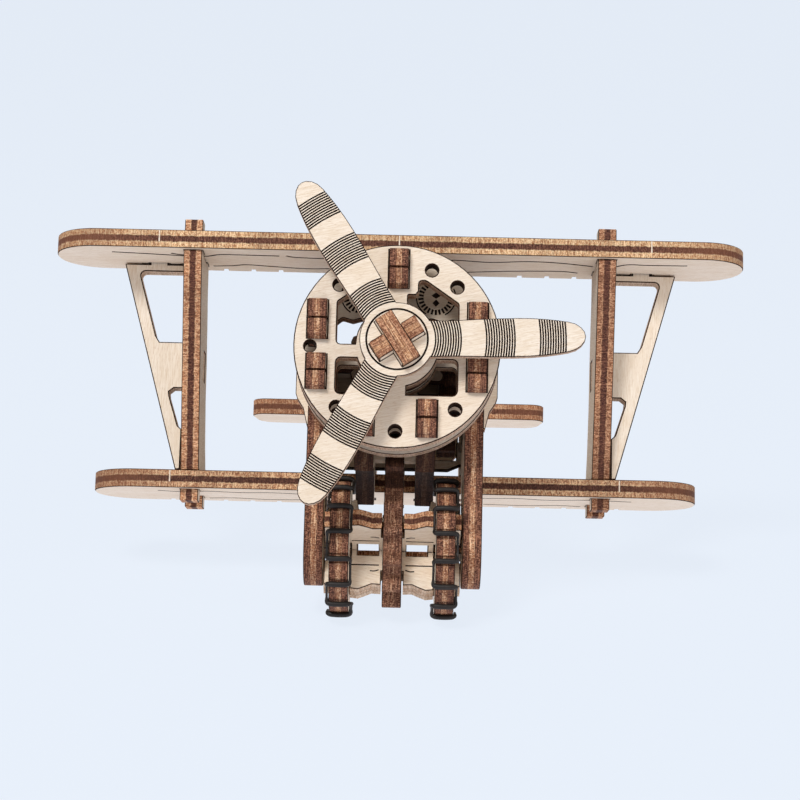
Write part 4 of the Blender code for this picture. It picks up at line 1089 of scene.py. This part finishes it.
pin("idler_pin", 1.9, -8.3, 8.3, (0, *IDLER), stand, BIRCH)
# the crown wheel has a tooth straight ahead, in a gap of the small gear at its side
cg = gear_ring(CROWN_TEETH, 14.4, 16.8, 17.7, 3.2, 2.4, 1.8, 0.0)
x_gear("crown_wheel", cg, LAY_DEG, SHAFT_W + FIT, 10.95, lay_axis)

# wheel axle: two wide plates whose tabs pass through the wheels
WEB_X = 8.6
TAB = (4.6, 10.4)
END_X = 14.1


def axle_plate(slot_side, window, short_arm=False):
    """Wide axle plate; slot_side gives the end that is open for the other plate. A short arm is cut
    back between the wheels, on the side away from the ground."""
    g = HALF + FIT
    w0, w1 = window
    s = -slot_side                     # the closed end, with the tongue
    pts = []
    # outer edge along +v from the slotted end to the closed end, then back along -v
    top = [(-WEB_X, 11.3), (-7.0, 11.5), (-5.6, 10.9), (-4.2, 10.2), (-2.3, 10.3), (-2.3, 7.0),
           (2.3, 7.0), (2.3, 10.3), (4.2, 10.2), (5.6, 10.9), (7.0, 11.5), (WEB_X, 11.3)]
    right_end = [(WEB_X, TAB[1]), (END_X, TAB[1]), (END_X, TAB[0]), (WEB_X, TAB[0]),
                 (WEB_X, T), (18.4, T), (18.4, -T), (WEB_X, -T),
                 (WEB_X, -TAB[0]), (END_X, -TAB[0]), (END_X, -TAB[1]), (WEB_X, -TAB[1])]
    bottom = [(-u, -v) for u, v in top]
    if short_arm:
        arm = [(WEB_X, -10.7), (7.7, -10.7), (7.1, -6.4), (2.3, -6.4), (2.3, -7.0)]
        bottom = arm + [(-u, v) for u, v in reversed(arm)]
    left_end = [(-WEB_X, -TAB[1]), (-END_X, -TAB[1]), (-END_X, -TAB[0]), (-WEB_X, -TAB[0]),
                (-WEB_X, -g), (-7.3, -g), (-7.3, -w0), (-2.9, -w0), (-2.9, -g), (0.15, -g),
                (0.15, g), (-2.9, g), (-2.9, w0), (-7.3, w0), (-7.3, g), (-WEB_X, g),
                (-WEB_X, TAB[0]), (-END_X, TAB[0]), (-END_X, TAB[1]), (-WEB_X, TAB[1])]
    ring = top + right_end + bottom + left_end
    if s < 0:
        ring = [(-u, v) for u, v in ring]
        return ring[::-1]
    return ring


def axle_window(s, w1):
    return rect(min(s * 2.9, s * 7.3), -w1, max(s * 2.9, s * 7.3), w1)


WIN_A, WIN_B = 4.2, 3.2
pa = axle_plate(-1, (WIN_A, WIN_A))
pb = axle_plate(1, (WIN_B, WIN_B), short_arm=True)
shaft_pair("axle_plate", pa, pb, [axle_window(1, WIN_A)], [axle_window(-1, WIN_B)], axle_axis,
           (about_x(AXLE_TILT), about_x(AXLE_TILT - 90)))

CROSS_PHASE = -15.85   # one crossing of the rubber thread, degrees above straight ahead


def wheel_ring():
    ring = []
    half = math.degrees(0.85 / WHEEL_R)
    step = 360.0 / CROSSINGS
    for k in range(CROSSINGS):
        a = CROSS_PHASE + k * step
        for r, da in ((WHEEL_R, -half - 1.0), (13.6, -half), (13.55, 0.0), (13.6, half),
                      (WHEEL_R, half + 1.0), (WHEEL_R, step * 0.5)):
            t = math.radians(a + da)
            ring.append((r * math.cos(t), r * math.sin(t)))
    return ring


def wheel(name, x):
    g = HALF + FIT
    ring = [(-u, v) for u, v in wheel_ring()][::-1]
    centre_hole = cross_ring(3.0)
    holes = [turned(centre_hole, AXLE_TILT)]
    for q in range(4):
        holes.append(turned(rect(TAB[0] - FIT, -g, TAB[1] + FIT, g), AXLE_TILT + 90 * q))
    for q in range(4):
        holes.append(circle(9.4 * math.cos(math.radians(AXLE_TILT + 45 + 90 * q)),
                            9.4 * math.sin(math.radians(AXLE_TILT + 45 + 90 * q)), 1.7, 14))
    holes = [[(-u, v) for u, v in h][::-1] for h in holes]
    return plate(name, ring, holes, "YZ", (x, 0, 0), parent=axle_axis, rgb=CHARRED)


def rubber_mat():
    """Matt black rubber thread with a faint dusty bloom."""
    k = Nodes("rubber_thread")
    tc = k.new("ShaderNodeTexCoord")
    n = k.noise(tc.outputs["Object"], 1800.0, 3.0, 0.6)
    dust = k.noise(tc.outputs["Object"], 350.0, 2.0, 0.5)
    col = k.mix(k.ramp(dust, [(0.45, 0.0), (0.8, 0.35)]), lin(20, 14, 11), lin(58, 46, 38))
    k.put(k.bsdf.inputs["Base Color"], col)
    k.put(k.bsdf.inputs["Roughness"], k.ramp(n, [(0.3, 0.45), (0.8, 0.72)]))
    k.bsdf.inputs["Specular IOR Level"].default_value = 0.45
    k.bump(n, 0.3, 0.00005)
    return k.mat


RUBBER_MAT = rubber_mat()


def tyre_cord(name, x, flip):
    """Rubber thread laced to and fro over the wheel's rim, a closed loop."""
    pts, rad = [], []
    step = 360.0 / CROSSINGS
    for k in range(CROSSINGS):
        s = 1 if (k + flip) % 2 else -1
        a = CROSS_PHASE + k * step
        for dx, r, da in ((-1.7 * s, 14.4, 0), (0.0, 14.5, 0), (1.7 * s, 14.4, 0),
                          (2.36 * s, 14.12, 1.0), (2.40 * s, 13.55, 4.6), (2.40 * s, 13.3, 11.25),
                          (2.40 * s, 13.55, 17.9), (2.36 * s, 14.12, 21.5)):
            t = math.radians(a + da)
            pts.append(Vector((x + dx, -r * math.cos(t), r * math.sin(t))))
            rad.append(1.0 if abs(dx) < 1.8 else (0.75 if abs(dx) < 2.38 else 0.46))
    n = len(pts)
    fine, thin = [], []
    for i in range(n):
        p0, p1, p2, p3 = (pts[(i + j) % n] for j in (-1, 0, 1, 2))
        for q in range(4):
            t = q / 4
            fine.append(0.5 * ((2 * p1) + (p2 - p0) * t + (2 * p0 - 5 * p1 + 4 * p2 - p3) * t * t
                               + (3 * p1 - p0 - 3 * p2 + p3) * t ** 3))
            thin.append(rad[i] * (1 - t) + rad[(i + 1) % n] * t)
    cu = bpy.data.curves.new(name, "CURVE")
    cu.dimensions = "3D"
    cu.bevel_depth = 0.57 * MM
    cu.bevel_resolution = 3
    cu.fill_mode = "FULL"
    sp = cu.splines.new("POLY")
    sp.points.add(len(fine) - 1)
    for p, c, w in zip(sp.points, fine, thin):
        p.co = (c[0] * MM, c[1] * MM, c[2] * MM, 1.0)
        p.radius = w
    sp.use_cyclic_u = True
    tmp = bpy.data.objects.new(name + "_curve", cu)
    scene.collection.objects.link(tmp)
    bpy.context.view_layer.update()
    me = bpy.data.meshes.new_from_object(tmp.evaluated_get(bpy.context.evaluated_depsgraph_get()))
    bpy.data.objects.remove(tmp, do_unlink=True)
    me.transform(axle_axis.m)
    me.materials.clear()
    me.materials.append(RUBBER_MAT)
    me.shade_smooth()
    ob = bpy.data.objects.new(name + "_thread", me)
    scene.collection.objects.link(ob)
    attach(ob, BODY_OF[name])
    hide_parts(name)
    return ob


wheel("wheel_left", -WHEEL_X)
wheel("wheel_right", WHEEL_X)
tyre_cord("tyre_cord_left", -WHEEL_X, 0)
tyre_cord("tyre_cord_right", WHEEL_X, 1)

# ---- stage: plain pale floor, soft light ----
def look_at(ob, target):
    ob.rotation_mode = "QUATERNION"
    ob.rotation_quaternion = (Vector(target) - ob.location).to_track_quat("-Z", "Y")


def area(name, at, target, size, watts, colour=(1, 1, 1)):
    li = bpy.data.lights.new(name, "AREA")
    li.shape = "DISK"
    li.size = size
    li.energy = watts
    li.color = colour
    ob = bpy.data.objects.new(name, li)
    scene.collection.objects.link(ob)
    ob.location = Vector(at)
    look_at(ob, target)
    return ob


PALE = lin(232, 240, 251)
bpy.ops.mesh.primitive_plane_add(size=40.0, location=(0, 0, 0))
floor = bpy.context.active_object
floor.name = "floor"
fm = Nodes("pale_floor")
em = fm.new("ShaderNodeEmission")
em.inputs["Color"].default_value = PALE
em.inputs["Strength"].default_value = 0.93
df = fm.new("ShaderNodeBsdfDiffuse")
df.inputs["Color"].default_value = (0.065, 0.068, 0.072, 1)
ad = fm.new("ShaderNodeAddShader")
fm.t.links.new(em.outputs[0], ad.inputs[0])
fm.t.links.new(df.outputs[0], ad.inputs[1])
fm.t.links.new(ad.outputs[0], fm.t.nodes["Material Output"].inputs["Surface"])
floor.data.materials.append(fm.mat)
floor.visible_diffuse = False
floor.visible_glossy = False
bpy.ops.mesh.primitive_cylinder_add(vertices=64, radius=19.0, depth=14.0, end_fill_type="NOTHING",
                                    location=(0, 0, 6.9))
wall = bpy.context.active_object
wall.name = "backdrop"
wall.data.materials.append(fm.mat)
wall.visible_diffuse = False
wall.visible_glossy = False
wall.visible_shadow = False

world = bpy.data.worlds.new("studio")
scene.world = world
world.use_nodes = True
wt = world.node_tree
wb = wt.nodes["Background"]
wb.inputs["Strength"].default_value = 1.0
way = wt.nodes.new("ShaderNodeTexCoord")
axes = wt.nodes.new("ShaderNodeSeparateXYZ")
wt.links.new(way.outputs["Generated"], axes.inputs[0])
half = wt.nodes.new("ShaderNodeMapRange")
half.inputs["From Min"].default_value = -0.25
half.inputs["From Max"].default_value = 0.25
wt.links.new(axes.outputs["Z"], half.inputs["Value"])
sky = wt.nodes.new("ShaderNodeValToRGB")
sky.color_ramp.elements[0].color = (0.98, 0.98, 1.06, 1)
sky.color_ramp.elements[1].color = (0.30, 0.305, 0.315, 1)
wt.links.new(half.outputs["Result"], sky.inputs[0])
wt.links.new(sky.outputs[0], wb.inputs["Color"])

C = Vector((0, -0.02, 0.05))
area("key", (-0.38, -0.78, 1.05), C, 0.42, 11.0, (1.0, 0.985, 0.97))
area("right", (0.95, -0.80, 0.55), C, 0.60, 2.9, (1.0, 0.985, 0.97))

scene.view_settings.view_transform = "Standard"
scene.view_settings.look = "None"
scene.view_settings.exposure = 0.0
scene.view_settings.gamma = 1.0
